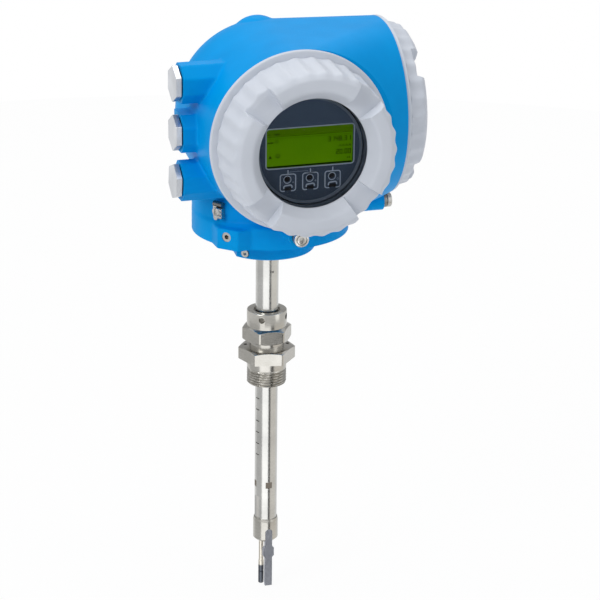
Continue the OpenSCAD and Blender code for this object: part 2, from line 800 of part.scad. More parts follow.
// Cam beside a cover's rim, and the socket screw that clamps it
module lock_cam(rim) {
    pipe(lock_head_r, lock_shank_r + run, rim, rim + lock_cam_t);
}

module lock_screw(rim) {
    seat = rim + lock_cam_t + gap;
    top = seat + lock_head_h;
    difference() {
        union() {
            rod(lock_shank_r, rim - lock_hole_depth + gap, seat);
            chamfered_rod(lock_head_r, seat, top, fine_edge);
        }
        socket(lock_shank_r, top, lock_head_h / 2);
    }
}

module front_lock_cam() { color("silver") front_lock_frame() lock_cam(front_rim_y); }
module front_lock_screw() { color("silver") front_lock_frame() lock_screw(front_rim_y); }
module side_lock_cam() { color("silver") side_lock_frame() lock_cam(side_rim_x); }
module side_lock_screw() { color("silver") side_lock_frame() lock_screw(side_rim_x); }

// Outer form of a cover, as a turned profile with hollows between its grip lobes and spanner
// notches in its crest. Distances run outward from the stem along the cover's axis
module cover_form(rim, crest, slope_end, notch) {
    seat = rim + gap;
    flange = seat + flange_t;
    back = flange + grip_groove;
    front = crest - face_bevel;
    groove_r = grip_back_r - lobe_depth;
    thread_end = rim - cover_spigot_len;
    oring_low = rim - oring_seat - edge;
    difference() {
        rotate_extrude() polygon([
            [0, thread_end], [cover_spigot_r, thread_end], [cover_spigot_r, oring_low],
            [oring_groove_r, oring_low], [oring_groove_r, seat], [rim_r, seat], [rim_r, flange],
            [groove_r, flange], [groove_r, back], [grip_back_r, back], [grip_front_r, front],
            [crest_out_r, crest], [crest_in_r, crest], [window_r, slope_end], [0, slope_end]]);
        for (i = [0:lobes - 1]) rotate([0, 0, (i + 1 / 2) * 360 / lobes]) lobe_hollow(back, front);
        for (i = [0:notches - 1]) rotate([0, 0, mid_turn + i * 360 / notches - notch_angle / 2])
            spanner_notch(crest, slope_end, notch);
    }
}

// Hollow between two lobes, leaning with the taper of the grip
module lobe_hollow(back, front) {
    lean = atan((grip_back_r - grip_front_r) / (front - back));
    translate([grip_back_r + lobe_side, 0, back]) rotate([0, -lean, 0])
        translate([0, 0, -fine_edge]) cylinder(r = lobe_cut_r, h = front - back + face_bevel + over);
}

// Spanner notch: a slice of a turned wedge, deepest at the rim
module spanner_notch(crest, slope_end, notch) {
    rotate_extrude(angle = notch_angle) polygon([
        [window_r, slope_end], [rim_r, crest - notch], [rim_r, crest + over], [window_r, crest + over]]);
}

// Cover with the window, hollow for the display and stepped for the glass and its ring
module display_cover() {
    step_high = glass_ring_low - cover_wall;
    step_low = step_high - cover_wall;
    color("lightgray") front_frame() difference() {
        cover_form(front_rim_y, display_crest, window_edge, notch_depth);
        rod(window_r, glass_low, window_edge + over);
        rod(glass_bore_r, step_high, glass_top);
        cone(cover_inner_r, glass_bore_r, step_low, step_high);
        rod(cover_inner_r, front_rim_y - cover_thread_depth, step_low);
    }
}

// Blank cover, hollow behind its face
module side_cover() {
    color("lightgray") side_frame() difference() {
        cover_form(side_rim_x, side_crest, side_face, side_notch_depth);
        rod(cover_inner_r, side_rim_x - cover_thread_depth, side_face - side_cover_wall);
    }
}

// O-ring in the groove between a cover's flange and its thread
module cover_oring(rim) { translate([0, 0, rim - oring_t / 2]) torus(oring_r, oring_t / 2); }
module front_oring() { color("black") front_frame() cover_oring(front_rim_y); }
module side_oring() { color("black") side_frame() cover_oring(side_rim_x); }

// Flat glass, held from inside by a ring
module window_glass() {
    color("lightblue", 0.35) front_frame() rod(glass_r, glass_low, glass_top);
}
module glass_ring() {
    color("dimgray") front_frame() pipe(glass_r, face_r + edge, glass_ring_low, glass_low);
}

// Holder of the display: a cup on legs that stand on the compartment's floor
module display_holder() {
    color("dimgray") front_frame() {
        difference() {
            rod(holder_r, holder_low, display_low + holder_rim);
            rod(module_r + gap, display_low - gap, display_low + holder_rim + over);
            rod(module_r / 2, holder_low - over, display_low);
        }
        for (i = [0:holder_legs - 1]) rotate([0, 0, mid_turn + i * 360 / holder_legs])
            translate([module_r - holder_leg_r, 0, 0])
                rod(holder_leg_r, front_floor, holder_low + holder_t / 2);
    }
}

// Body of the display with the recess of the screen
module display_module() {
    color("darkslategray") front_frame() difference() {
        rod(module_r, display_low, face_top - face_t);
        screen_box(screen_lap, screen_low, face_top);
    }
}

// Box around the screen's opening, wider and higher than it by the given lap
module screen_box(lap, low, high) {
    w = screen_w + lap;
    h = screen_h + lap;
    translate([-w / 2, screen_rise - h / 2, low]) cube([w, h, high - low]);
}

module key_places() { for (i = [-1:1]) translate([i * key_pitch, -key_drop, 0]) children(); }

// Thin face of the display with the opening of the screen and three lens holes
module display_face() {
    color("darkslategray") front_frame() difference() {
        rod(face_r, face_top - face_t, face_top);
        screen_box(0, face_top - face_t - over, face_top + over);
        key_places() rod(key_lens_d / 2 + run, face_top - face_t - over, face_top + over);
    }
}

// Screen under the edge of the face
module lcd_panel() {
    color("olivedrab") front_frame() screen_box(screen_lap - 2 * run, screen_low, face_top - face_t);
}

// Dark lenses of the three optical keys
module key_lenses() {
    color("black") front_frame() key_places() rod(key_lens_d / 2, face_top - face_t, face_top - face_t / 2);
}

module terminal_places() {
    for (i = [0:terminal_count - 1])
        translate([(i - (terminal_count - 1) / 2) * terminal_pitch, -terminal_drop, 0]) children();
}

// Terminal strip on the floor of the display compartment
module terminal_block() {
    top = front_floor + terminal_d;
    color("darkgreen") front_frame() difference() {
        translate([-terminal_w / 2, -terminal_drop - terminal_h / 2, front_floor])
            cube([terminal_w, terminal_h, terminal_d]);
        terminal_places() rod(terminal_screw_r + run, top - terminal_screw_len, top + over);
    }
}

// Slotted screws of the terminal strip
module terminal_screws() {
    top = front_floor + terminal_d - edge;
    color("silver") front_frame() terminal_places() difference() {
        rod(terminal_screw_r, front_floor + terminal_d - terminal_screw_len, top);
        translate([-terminal_pitch / 2, -terminal_slot / 2, top - edge])
            cube([terminal_pitch, terminal_slot, edge + over]);
    }
}

// Sealed electronics pot in the pocket behind the display compartment
module electronics_module() {
    color("darkslategray") translate([0, pocket_y, 0]) side_frame() {
        rod(pocket_r - run, pocket_wall - pocket_end_x, side_floor);
        rod(pocket_r - pocket_wall, side_floor - edge, side_floor + pot_rise);
    }
}

// Blanking plug: a hexagonal head and a shank in the entry's thread
module plug(row) {
    seat = entry_face_x + plug_seal_t;
    entry_frame(row) {
        rod(entry_thread_r - run, entry_face_x - plug_thread_len, seat + edge);
        rotate([0, 0, plug_turns[row + 1]]) hex_bar(plug_af, seat, seat + plug_head_h, plug_chamfer_h);
    }
}

module plug_seal(row) {
    entry_frame(row) pipe(plug_af / 2 - edge, entry_thread_r + run, entry_face_x, entry_face_x + plug_seal_t);
}

module upper_plug() { color("khaki") plug(1); }
module upper_plug_seal() { color("black") plug_seal(1); }
module middle_plug() { color("khaki") plug(0); }
module middle_plug_seal() { color("black") plug_seal(0); }
module lower_plug() { color("khaki") plug(-1); }
module lower_plug_seal() { color("black") plug_seal(-1); }

process_fitting();
front_ferrule();
back_ferrule();
compression_nut();
sensor_tube();
sensor_head();
guard_bar();
pin_carrier();
heated_pin();
reference_pin();
neck_adapter();
neck_seal();
neck_screw();
housing();
neck_lock_screw();
ground_clamp();
ground_screw();
front_lock_cam();
front_lock_screw();
side_lock_cam();
side_lock_screw();
display_cover();
front_oring();
window_glass();
glass_ring();
display_holder();
display_module();
display_face();
lcd_panel();
key_lenses();
terminal_block();
terminal_screws();
electronics_module();
side_cover();
side_oring();
upper_plug();
upper_plug_seal();
middle_plug();
middle_plug_seal();
lower_plug();
lower_plug_seal();
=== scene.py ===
"""Looks of an insertion thermal mass flow meter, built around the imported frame.

Forms are written in millimetres and turned into metres when their mesh is made.
The camera, the stage and the modifiers' settings are in metres.
"""
import math

import bmesh
import bpy
import numpy as np
from mathutils import Matrix, Vector


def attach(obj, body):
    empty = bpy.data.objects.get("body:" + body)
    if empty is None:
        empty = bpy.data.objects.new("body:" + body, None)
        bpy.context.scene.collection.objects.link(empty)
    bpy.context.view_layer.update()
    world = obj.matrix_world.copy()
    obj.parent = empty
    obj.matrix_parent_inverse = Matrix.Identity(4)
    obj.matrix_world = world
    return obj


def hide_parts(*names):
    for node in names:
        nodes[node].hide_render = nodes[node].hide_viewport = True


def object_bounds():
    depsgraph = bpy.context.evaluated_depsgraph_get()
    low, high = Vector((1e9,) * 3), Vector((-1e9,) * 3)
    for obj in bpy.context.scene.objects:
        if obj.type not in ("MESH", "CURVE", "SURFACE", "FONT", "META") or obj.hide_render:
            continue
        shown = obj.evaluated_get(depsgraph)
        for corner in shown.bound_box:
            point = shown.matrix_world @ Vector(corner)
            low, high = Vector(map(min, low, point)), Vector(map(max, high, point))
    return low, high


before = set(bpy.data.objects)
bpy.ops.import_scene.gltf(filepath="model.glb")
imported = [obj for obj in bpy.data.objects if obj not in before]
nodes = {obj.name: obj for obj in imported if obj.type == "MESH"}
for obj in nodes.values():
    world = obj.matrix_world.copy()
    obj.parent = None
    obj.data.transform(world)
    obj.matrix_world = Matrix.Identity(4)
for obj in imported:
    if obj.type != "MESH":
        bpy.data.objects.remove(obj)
cad_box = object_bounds()
scene = bpy.context.scene

MM = 0.001

# The photograph's view, solved from the covers, the stem and the cable entries
PHOTO_SIZE = 600  # pixels
FOCAL_LENGTH = 2420.24  # pixels
SENSOR_WIDTH = 36
CAMERA_PLACE = (-0.545093, -1.814903, 0.748260)
CAMERA_YAW, CAMERA_PITCH, CAMERA_ROLL = 17.5498, 20.1899, 0.6839

# Places and sizes that repeat those of the part
AXIS_Z = 213.6  # height of both covers' axes
FRONT_RIM, SIDE_RIM = 85.0, 93.8  # the housing's rims, from the stem
ENTRY_X, ENTRY_Y, ENTRY_PITCH = 84.5, 38.0, 39.8  # the cable entries' faces
FOOT_Z, FOOT_R = 116.3, 62.5
WALL_TOP = 176
FACE_TOP, LCD_TOP = 111.9, 110.9  # the printed face and the screen, from the stem
LOCK_OUT = 79.6  # a cover lock, from its cover's axis
LUG_TURN, LUG_SCREW_Z = -135, 126.8
GROUND_TURN, GROUND_Z = -146, 144.9
TUBE_BORE_R = 9.575
ROWS = (1, 0, -1)  # of the cable entries, from the top

# Frames: local +Z points out of the face that it belongs to
UPRIGHT = Matrix.Identity(4)
FRONT = Matrix(((1, 0, 0, 0), (0, 0, -1, 0), (0, 1, 0, AXIS_Z), (0, 0, 0, 1)))
SIDE = Matrix(((0, 0, 1, 0), (0, 1, 0, 0), (-1, 0, 0, AXIS_Z), (0, 0, 0, 1)))
LYING = Matrix(((1, 0, 0, 0), (0, 0, 1, 0), (0, -1, 0, 0), (0, 0, 0, 1)))


def shift(x, y, z):
    return Matrix.Translation((x, y, z))


def turned(degrees):
    return Matrix.Rotation(math.radians(degrees), 4, "Z")


def entry(row):
    height = AXIS_Z + row * ENTRY_PITCH
    return Matrix(((0, 0, -1, 0), (0, 1, 0, -ENTRY_Y), (1, 0, 0, height), (0, 0, 0, 1)))


def radial(turn, z):
    """Local +Z points out from the stem, local +X points down."""
    out = Matrix(((0, 0, 1, 0), (0, 1, 0, 0), (-1, 0, 0, 0), (0, 0, 0, 1)))
    return shift(0, 0, z) @ turned(turn) @ out


FRONT_LOCK = FRONT @ shift(0.7, -LOCK_OUT, 0)
SIDE_LOCK = SIDE @ turned(-11) @ shift(LOCK_OUT, 0, 0)
LUG_SCREW = radial(LUG_TURN, LUG_SCREW_Z)
GROUND = radial(GROUND_TURN, GROUND_Z)


def make_camera():
    yaw, pitch, roll = (math.radians(a) for a in (CAMERA_YAW, CAMERA_PITCH, CAMERA_ROLL))
    level = math.cos(pitch)
    ahead = Vector((math.sin(yaw) * level, math.cos(yaw) * level, -math.sin(pitch)))
    right = Vector((math.cos(yaw), -math.sin(yaw), 0))
    up = right.cross(ahead)
    right, up = (right * math.cos(roll) + up * math.sin(roll),
                 up * math.cos(roll) - right * math.sin(roll))
    data = bpy.data.cameras.new("camera")
    data.sensor_width = SENSOR_WIDTH
    data.lens = SENSOR_WIDTH * FOCAL_LENGTH / PHOTO_SIZE
    data.clip_start = 0.05
    data.clip_end = 50
    camera = bpy.data.objects.new("camera", data)
    matrix = Matrix((right, up, -ahead)).transposed().to_4x4()
    matrix.translation = CAMERA_PLACE
    camera.matrix_world = matrix
    scene.collection.objects.link(camera)
    scene.camera = camera


# ---------------------------------------------------------------- materials

def linear(r, g, b):
    """A colour written as seen on screen, from 0 to 255."""
    def one(c):
        c /= 255
        return c / 12.92 if c <= 0.04045 else ((c + 0.055) / 1.055) ** 2.4
    return one(r), one(g), one(b), 1


class Tree:
    """A node tree with short ways to add and join nodes."""

    def __init__(self, tree):
        self.tree = tree
        self.tree.nodes.clear()

    def add(self, kind, **settings):
        node = self.tree.nodes.new(kind)
        for key, value in settings.items():
            if key in node.inputs:
                node.inputs[key].default_value = value
            else:
                setattr(node, key, value)
        return node

    def link(self, a, b):
        self.tree.links.new(a, b)

    def calc(self, operation, *values):
        """A Math node; each value is a socket or a plain number."""
        node = self.add("ShaderNodeMath", operation=operation)
        for socket, value in zip(node.inputs, values):
            if isinstance(value, bpy.types.NodeSocket):
                self.link(value, socket)
            else:
                socket.default_value = value
        return node.outputs[0]

    def rays(self, *kinds):
        """1 for rays of the given kinds and 0 for all others."""
        path = self.add("ShaderNodeLightPath")
        seen = path.outputs[kinds[0]]
        for kind in kinds[1:]:
            seen = self.calc("MAXIMUM", seen, path.outputs[kind])
        return seen

    def mix(self, share, first, second):
        node = self.add("ShaderNodeMixShader")
        for value, socket in zip((share, first.outputs[0], second.outputs[0]), node.inputs):
            self.link(value, socket)
        return node.outputs[0]


class Shader(Tree):
    """A material with one Principled shader."""

    def __init__(self, name):
        self.mat = bpy.data.materials.new(name)
        self.mat.use_nodes = True
        super().__init__(self.mat.node_tree)
        self.out = self.add("ShaderNodeOutputMaterial")
        self.bsdf = self.add("ShaderNodeBsdfPrincipled")
        self.link(self.bsdf.outputs[0], self.out.inputs["Surface"])

    def place(self, scale=(1, 1, 1)):
        """Object coordinates, in metres, stretched by a scale."""
        coordinates = self.add("ShaderNodeTexCoord")
        mapping = self.add("ShaderNodeMapping", Scale=scale)
        self.link(coordinates.outputs["Object"], mapping.inputs["Vector"])
        return mapping.outputs[0]

    def height(self, low, high):
        """0 at a low height and 1 at a high one."""
        split = self.add("ShaderNodeSeparateXYZ")
        self.link(self.place(), split.inputs[0])
        return self.span(split.outputs["Z"], 0, 1, low, high)

    def noise(self, scale, detail=3, roughness=0.55, stretch=(1, 1, 1)):
        node = self.add("ShaderNodeTexNoise", Scale=scale, Detail=detail, Roughness=roughness)
        self.link(self.place(stretch), node.inputs["Vector"])
        return node.outputs["Fac"]

    def ramp(self, value, *stops):
        """A colour ramp through (position, colour as seen on screen)."""
        node = self.add("ShaderNodeValToRGB")
        ramp = node.color_ramp
        while len(ramp.elements) < len(stops):
            ramp.elements.new(0.5)
        for element, (position, colour) in zip(ramp.elements, stops):
            element.position = position
            element.color = linear(*colour)
        self.link(value, node.inputs["Fac"])
        return node.outputs["Color"]

    def span(self, value, low, high, start=0.3, end=0.7):
        """Low where the value is at the start, high where it is at the end."""
        node = self.add("ShaderNodeMapRange")
        for key, number in (("From Min", start), ("From Max", end), ("To Min", low),
                            ("To Max", high)):
            node.inputs[key].default_value = number
        self.link(value, node.inputs["Value"])
        return node.outputs["Result"]

    def bump(self, height, strength, distance, below=None):
        node = self.add("ShaderNodeBump", Strength=strength, Distance=distance)
        self.link(height, node.inputs["Height"])
        if below is not None:
            self.link(below, node.inputs["Normal"])
        return node.outputs["Normal"]

    def set(self, **values):
        for key, value in values.items():
            self.bsdf.inputs[key.replace("_", " ")].default_value = value

    def finish(self, colour=None, roughness=None, normal=None):
        for value, key in ((colour, "Base Color"), (roughness, "Roughness"), (normal, "Normal")):
            if value is not None:
                self.link(value, self.bsdf.inputs[key])
        return self.mat


def powder_paint(name, low, high, gloss):
    """Sprayed and baked paint: a faint orange peel and slow changes of tone."""
    s = Shader(name)
    tone = s.noise(28, 2)
    peel = s.noise(1300, 2, 0.6)
    fine = s.noise(5200, 1)
    s.set(Specular_IOR_Level=gloss)
    normal = s.bump(peel, 0.08, 0.0001)
    normal = s.bump(fine, 0.03, 0.00004, normal)
    return s.finish(s.ramp(tone, (0.3, low), (0.7, high)), s.span(peel, 0.37, 0.48), normal)


def turned_steel(name, low, high, roughness, pitch, stretch, depth=0.06, bore=0):
    """Machined steel: fine tool marks across the stretched direction, and faint slow stains.

    Inside a bore about Z it has a painted glow: an emission that stands in for the light coming
    in through windows.
    """
    s = Shader(name)
    marks = s.noise(pitch, 3, 0.6, stretch)
    stain = s.noise(34, 2)
    tone = s.calc("MULTIPLY_ADD", marks, 0.5, stain)
    s.set(Metallic=1.0)
    if bore:
        # Painted light: inside the bore the steel glows with a warm emission, standing in for
        # light from the windows.
        away = s.add("ShaderNodeVectorMath", operation="LENGTH")
        s.link(s.place((1, 1, 0)), away.inputs[0])
        glow = s.span(away.outputs["Value"], 0.1, 0, bore, bore + 0.0004)
        s.link(glow, s.bsdf.inputs["Emission Strength"])
        s.set(Emission_Color=(1, 0.88, 0.76, 1))
    normal = s.bump(marks, depth, 0.00002)
    colour = s.ramp(tone, (0.5, low), (1.0, high))
    return s.finish(colour, s.span(marks, roughness - 0.04, roughness + 0.05), normal)


def needle_steel():
    """Sensing pins: a light ground shaft over a darker coated tip."""
    s = Shader("pin_steel")
    split = s.height(-0.1932, -0.1922)
    marks = s.noise(2600, 3, 0.6, (0.2, 0.2, 1))
    s.set(Metallic=1.0)
    colour = s.ramp(split, (0.0, (84, 88, 95)), (1.0, (204, 199, 188)))
    return s.finish(colour, s.span(marks, 0.26, 0.36), s.bump(marks, 0.05, 0.00002))


def moulded(name, low, high, roughness, scale=2600, strength=0.08, specular=0.4):
    """Moulded plastic or rubber with a fine grain."""
    s = Shader(name)
    tone = s.noise(45, 3)
    grain = s.noise(scale, 2, 0.6)
    s.set(Specular_IOR_Level=specular)
    normal = s.bump(grain, strength, 0.00005)
    rough = s.span(grain, roughness - 0.05, roughness + 0.07)
    return s.finish(s.ramp(tone, (0.3, low), (0.7, high)), rough, normal)


def printed(name, low, high, specular=0.1):
    """Thin even print with next to no grain."""
    return moulded(name, low, high, 0.5, 3000, 0.03, specular)


def face_plate():
    """Display face: blue grey with painted shade, darker toward the lower edge."""
    s = Shader("face_plastic")
    height = s.height(0.172, 0.255)
    grain = s.noise(2400, 2, 0.6)
    s.set(Specular_IOR_Level=0.12)
    # Painted shade: the ramp runs from lighter at the top to darker at the lower edge.
    colour = s.ramp(height, (0.0, (62, 77, 97)), (0.55, (72, 90, 113)), (1.0, (84, 104, 130)))
    return s.finish(colour, s.span(grain, 0.42, 0.55), s.bump(grain, 0.03, 0.00003))


def screen_glow():
    """Backlit green screen with its faint grid of picture elements."""
    s = Shader("screen")
    glow = s.noise(22, 1)
    cells = s.add("ShaderNodeTexChecker", Scale=2400)
    s.link(s.place(), cells.inputs["Vector"])
    s.set(Specular_IOR_Level=0.0, Emission_Strength=0.45)
    colour = s.ramp(glow, (0.3, (70, 115, 0)), (0.7, (80, 125, 2)))
    s.link(colour, s.bsdf.inputs["Emission Color"])
    return s.finish(colour, s.span(cells.outputs["Fac"], 0.4, 0.46, 0, 1))


def clear_glass():
    """Safety glass: light goes straight through, under a veil of reflection at grazing views."""
    s = Shader("window_glass")
    smear = s.noise(40, 3)
    mirror = s.add("ShaderNodeFresnel", IOR=1.45)
    s.set(Base_Color=(0.0, 0.0, 0.0, 1), Specular_IOR_Level=0.5)
    s.link(s.span(mirror.outputs[0], 0.015, 0.9, 0.03, 0.9), s.bsdf.inputs["Alpha"])
    return s.finish(None, s.span(smear, 0.02, 0.06))


# Steels: darkest and lightest tone, roughness, fineness of the tool marks and their stretch
LOOKS = {
    "blue": powder_paint("blue_paint", (0, 149, 222), (0, 156, 230), 0.04),
    "grey": powder_paint("grey_paint", (206, 211, 220), (212, 217, 226), 0.12),
    "tube": turned_steel("tube_steel", (175, 175, 173), (197, 197, 194), 0.21, 2400,
                         (0.12, 0.12, 1), bore=0.0087),
    "steel": turned_steel("fitting_steel", (160, 158, 152), (186, 184, 179), 0.22, 1800,
                          (0.15, 0.15, 1)),
    "guard": turned_steel("guard_steel", (152, 156, 166), (168, 172, 182), 0.34, 1400,
                          (1, 1, 0.2), 0.02),
    "needle": needle_steel(),
    "pin": turned_steel("pin_steel", (120, 120, 118), (150, 149, 146), 0.28, 2600,
                        (0.2, 0.2, 1)),
    "screw": turned_steel("screw_steel", (170, 170, 168), (206, 205, 201), 0.24, 2200,
                          (1, 1, 1)),
    "plug": turned_steel("plug_metal", (184, 187, 192), (212, 215, 220), 0.34, 1500,
                         (1, 0.3, 0.3)),
    "mark": moulded("dark_marking", (58, 56, 52), (74, 72, 68), 0.6),
    "seal": moulded("seal_rubber", (22, 22, 23), (34, 34, 35), 0.7),
    "black": moulded("black_plastic", (30, 33, 37), (42, 45, 50), 0.5),
    "green": moulded("green_plastic", (40, 110, 60), (52, 126, 70), 0.5),
    "rim": moulded("rim_plastic", (128, 143, 163), (138, 152, 172), 0.35),
    "lens": moulded("lens_plastic", (12, 14, 20), (18, 20, 27), 0.3, 3000, 0.01, 0.1),
    "print": printed("face_print_and_highlight", (186, 201, 222), (196, 210, 230)),
    "faint": printed("faint_print", (138, 153, 175), (148, 163, 184)),
    "ink_and_shade": printed("screen_ink_and_shade", (14, 30, 0), (20, 38, 2), 0.0),
    "band": printed("screen_band", (100, 152, 4), (108, 160, 8), 0.0),
    "face": face_plate(),
    "screen": screen_glow(),
    "glass": clear_glass(),
}

CAD_LOOKS = {
    "blue": ["housing", "neck_adapter"],
    "grey": ["display_cover", "side_cover"],
    "tube": ["sensor_tube"],
    "steel": ["process_fitting", "compression_nut", "sensor_head", "front_ferrule",
              "back_ferrule", "pin_carrier"],
    "guard": ["guard_bar"],
    "needle": ["heated_pin", "reference_pin"],
    "pin": ["front_lock_cam", "side_lock_cam"],
    "screw": ["neck_screw", "neck_lock_screw", "ground_clamp", "ground_screw",
              "front_lock_screw", "side_lock_screw", "terminal_screws"],
    "plug": ["upper_plug", "middle_plug", "lower_plug"],
    "seal": ["neck_seal", "front_oring", "side_oring", "upper_plug_seal", "middle_plug_seal",
             "lower_plug_seal"],
    "rim": ["glass_ring"],
    "black": ["display_holder", "display_module", "electronics_module"],
    "face": ["display_face"],
    "lens": ["key_lenses"],
    "green": ["terminal_block"],
    "screen": ["lcd_panel"],
    "glass": ["window_glass"],
}


def dress_cad():
    """Gives each CAD node its look."""
    for look, members in CAD_LOOKS.items():
        for name in members:
            materials = nodes[name].data.materials
            materials.clear()
            materials.append(LOOKS[look])


# ---------------------------------------------------------------- mesh code

def crisp(mesh, sharp=32):
    """Smooth shading, apart from edges that turn by more than an angle."""
    mesh.shade_smooth()
    mesh.set_sharp_from_angle(angle=math.radians(sharp))


def mesh_of(name, points, faces, matrix=UPRIGHT, sharp=35):
    """A mesh from points in millimetres in a local frame."""
    m = np.array(matrix)
    points = (np.asarray(points, float) @ m[:3, :3].T + m[:3, 3]) * MM
    mesh = bpy.data.meshes.new(name)
    mesh.from_pydata(points.tolist(), [], faces)
    bm = bmesh.new()
    bm.from_mesh(mesh)
    bmesh.ops.remove_doubles(bm, verts=bm.verts, dist=1e-6)
    bmesh.ops.recalc_face_normals(bm, faces=bm.faces)
    bm.to_mesh(mesh)
    bm.free()
    crisp(mesh, sharp)
    return mesh


def piece(name, mesh, look, body, slot, *replaced):
    made = bpy.data.objects.new(name, mesh)
    scene.collection.objects.link(made)
    mesh.materials.clear()
    mesh.materials.append(LOOKS[look])
    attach(made, body)
    if replaced:
        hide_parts(*replaced)
    return made


def applied(made, kind, **settings):
    """Adds a modifier, works it out and keeps its result as the piece's mesh."""
    modifier = made.modifiers.new(kind.lower(), kind)
    for key, value in settings.items():
        setattr(modifier, key, value)
    graph = bpy.context.evaluated_depsgraph_get()
    mesh = bpy.data.meshes.new_from_object(made.evaluated_get(graph))
    made.modifiers.clear()
    made.data = mesh


def subtract(made, cutter):
    tool = bpy.data.objects.new("cutter", cutter)
    scene.collection.objects.link(tool)
    applied(made, "BOOLEAN", operation="DIFFERENCE", solver="MANIFOLD", object=tool)
    bpy.data.objects.remove(tool)


def cut(made, cutter):
    """Subtracts a cutter from a finished piece, which keeps its material."""
    materials = list(made.data.materials)
    subtract(made, cutter)
    made.data.materials.clear()
    for material in materials:
        made.data.materials.append(material)
    crisp(made.data)


def joined(name, shells):
    """One mesh of several closed shells."""
    bm = bmesh.new()
    for shell in shells:
        bm.from_mesh(shell)
    bmesh.ops.recalc_face_normals(bm, faces=bm.faces)
    mesh = bpy.data.meshes.new(name)
    bm.to_mesh(mesh)
    bm.free()
    return mesh


def turns_of(count, fine=()):
    """Turns around the axis in radians, evenly spaced, with finer ones at given degrees."""
    degrees = np.concatenate([np.arange(count) * 360 / count, fine])
    return np.radians(np.unique(np.round(degrees % 360, 5)))


def lathe(radius, height, turns, closed=True):
    """Points and quads of a turned surface whose radius and height may change with the turn."""
    count, steps = radius.shape
    x, y = radius * np.cos(turns)[:, None], radius * np.sin(turns)[:, None]
    i = np.arange(count)[:, None]
    j = np.arange(steps if closed else steps - 1)[None, :]
    following, beside = (i + 1) % count, (j + 1) % steps
    corners = (i * steps + j, following * steps + j, following * steps + beside,
               i * steps + beside)
    points = np.stack([x, y, height], -1).reshape(-1, 3)
    return points, np.stack(corners, -1).reshape(-1, 4).tolist()


class Turned:
    """A turned form, ring by ring; a ring's radius is one number or one for each turn."""

    def __init__(self, turns):
        self.turns, self.rings = turns, []

    def add(self, r, z):
        shape = self.turns.shape
        self.rings.append((np.broadcast_to(r, shape), np.full(shape, float(z))))

    def mesh(self, name, matrix=UPRIGHT, closed=True, sharp=35):
        radius, height = (np.stack([ring[k] for ring in self.rings], 1) for k in (0, 1))
        return mesh_of(name, *lathe(radius, height, self.turns, closed), matrix, sharp)


def plain_lathe(name, profile, matrix=UPRIGHT, count=128, closed=False):
    """A plain turned solid through (radius, height) points."""
    form = Turned(turns_of(count))
    for r, z in profile:
        form.add(r, z)
    return form.mesh(name, matrix, closed)


def rod_mesh(r, low, high, matrix=UPRIGHT, count=128):
    return plain_lathe("rod", [(0, low), (r, low), (r, high), (0, high)], matrix, count)


def rounded(corners, closed):
    """A profile of (radius, height, weight) rows.

    It goes through corners of (radius, height, fillet, weight).
    """
    steps = 4
    corners = [np.array(c, float) for c in corners]
    rows = []
    for k, corner in enumerate(corners):
        point = corner[[0, 1, 3]]
        if corner[2] == 0 or (not closed and k in (0, len(corners) - 1)):
            rows.append(point)
            continue
        before = corners[k - 1][[0, 1, 3]] - point
        after = corners[(k + 1) % len(corners)][[0, 1, 3]] - point
        first, second = np.hypot(*before[:2]), np.hypot(*after[:2])
        angle = math.acos(np.clip(np.dot(before[:2], after[:2]) / (first * second), -1, 1))
        reach = corner[2] / math.tan(angle / 2)
        start = point + before * min(reach / first, 0.45)
        end = point + after * min(reach / second, 0.45)
        for s in np.linspace(0, 1, steps + 1):
            rows.append((1 - s) ** 2 * start + 2 * s * (1 - s) * point + s * s * end)
    return np.array(rows)


def smooth(value):
    value = np.clip(value, 0, 1)
    return value * value * (3 - 2 * value)


def rectangle(x0, y0, x1, y1):
    return [(x0, y0), (x1, y0), (x1, y1), (x0, y1)]


class Solid:
    """Straight prisms and strokes collected into one mesh."""

    def __init__(self):
        self.points, self.faces = [], []

    def prism(self, outline, low, high):
        n, base = len(outline), len(self.points)
        self.points += [(x, y, z) for z in (low, high) for x, y in outline]
        self.faces.append([base + n - 1 - k for k in range(n)])
        self.faces.append([base + n + k for k in range(n)])
        for k in range(n):
            m = (k + 1) % n
            self.faces.append([base + k, base + m, base + n + m, base + n + k])

    def bar(self, x0, y0, x1, y1, low, high):
        self.prism(rectangle(x0, y0, x1, y1), low, high)

    def stroke(self, path, width, low, high, closed=False):
        """A line of even width along a path, as a flat solid."""
        path = np.array(path, float)
        n, base = len(path), len(self.points)
        for k in range(n):
            a = path[k] - path[k - 1] if closed or k else path[1] - path[0]
            b = path[(k + 1) % n] - path[k] if closed or k < n - 1 else path[-1] - path[-2]
            a, b = a / np.hypot(*a), b / np.hypot(*b)
            normal = np.array([-(a + b)[1], (a + b)[0]])
            normal /= max(np.hypot(*normal), 1e-9)
            normal /= max(np.dot(normal, (-a[1], a[0])), 0.5)
            left, right = path[k] + normal * width / 2, path[k] - normal * width / 2
            self.points += [(*left, low), (*right, low), (*right, high), (*left, high)]
        for k in range(n if closed else n - 1):
            p, q = base + 4 * k, base + 4 * ((k + 1) % n)
            for s in range(4):
                t = (s + 1) % 4
                self.faces.append([p + s, q + s, q + t, p + t])
        if not closed:
            self.faces.append([base + s for s in (3, 2, 1, 0)])
            self.faces.append([base + 4 * (n - 1) + s for s in (0, 1, 2, 3)])

    def mesh(self, name, matrix):
        return mesh_of(name, self.points, self.faces, matrix)


def prism_mesh(name, outline, low, high, matrix=UPRIGHT):
    solid = Solid()
    solid.prism(outline, low, high)
    return solid.mesh(name, matrix)


def box_mesh(x0, y0, z0, x1, y1, z1, matrix=UPRIGHT):
    return prism_mesh("box", rectangle(x0, y0, x1, y1), z0, z1, matrix)


def arc(x, y, r, start, end, count):
    return [(x + r * math.cos(math.radians(t)), y + r * math.sin(math.radians(t)))
            for t in np.linspace(start, end, count)]


def ring(x, y, r, count=24):
    return arc(x, y, r, 0, 360 * (count - 1) / count, count)


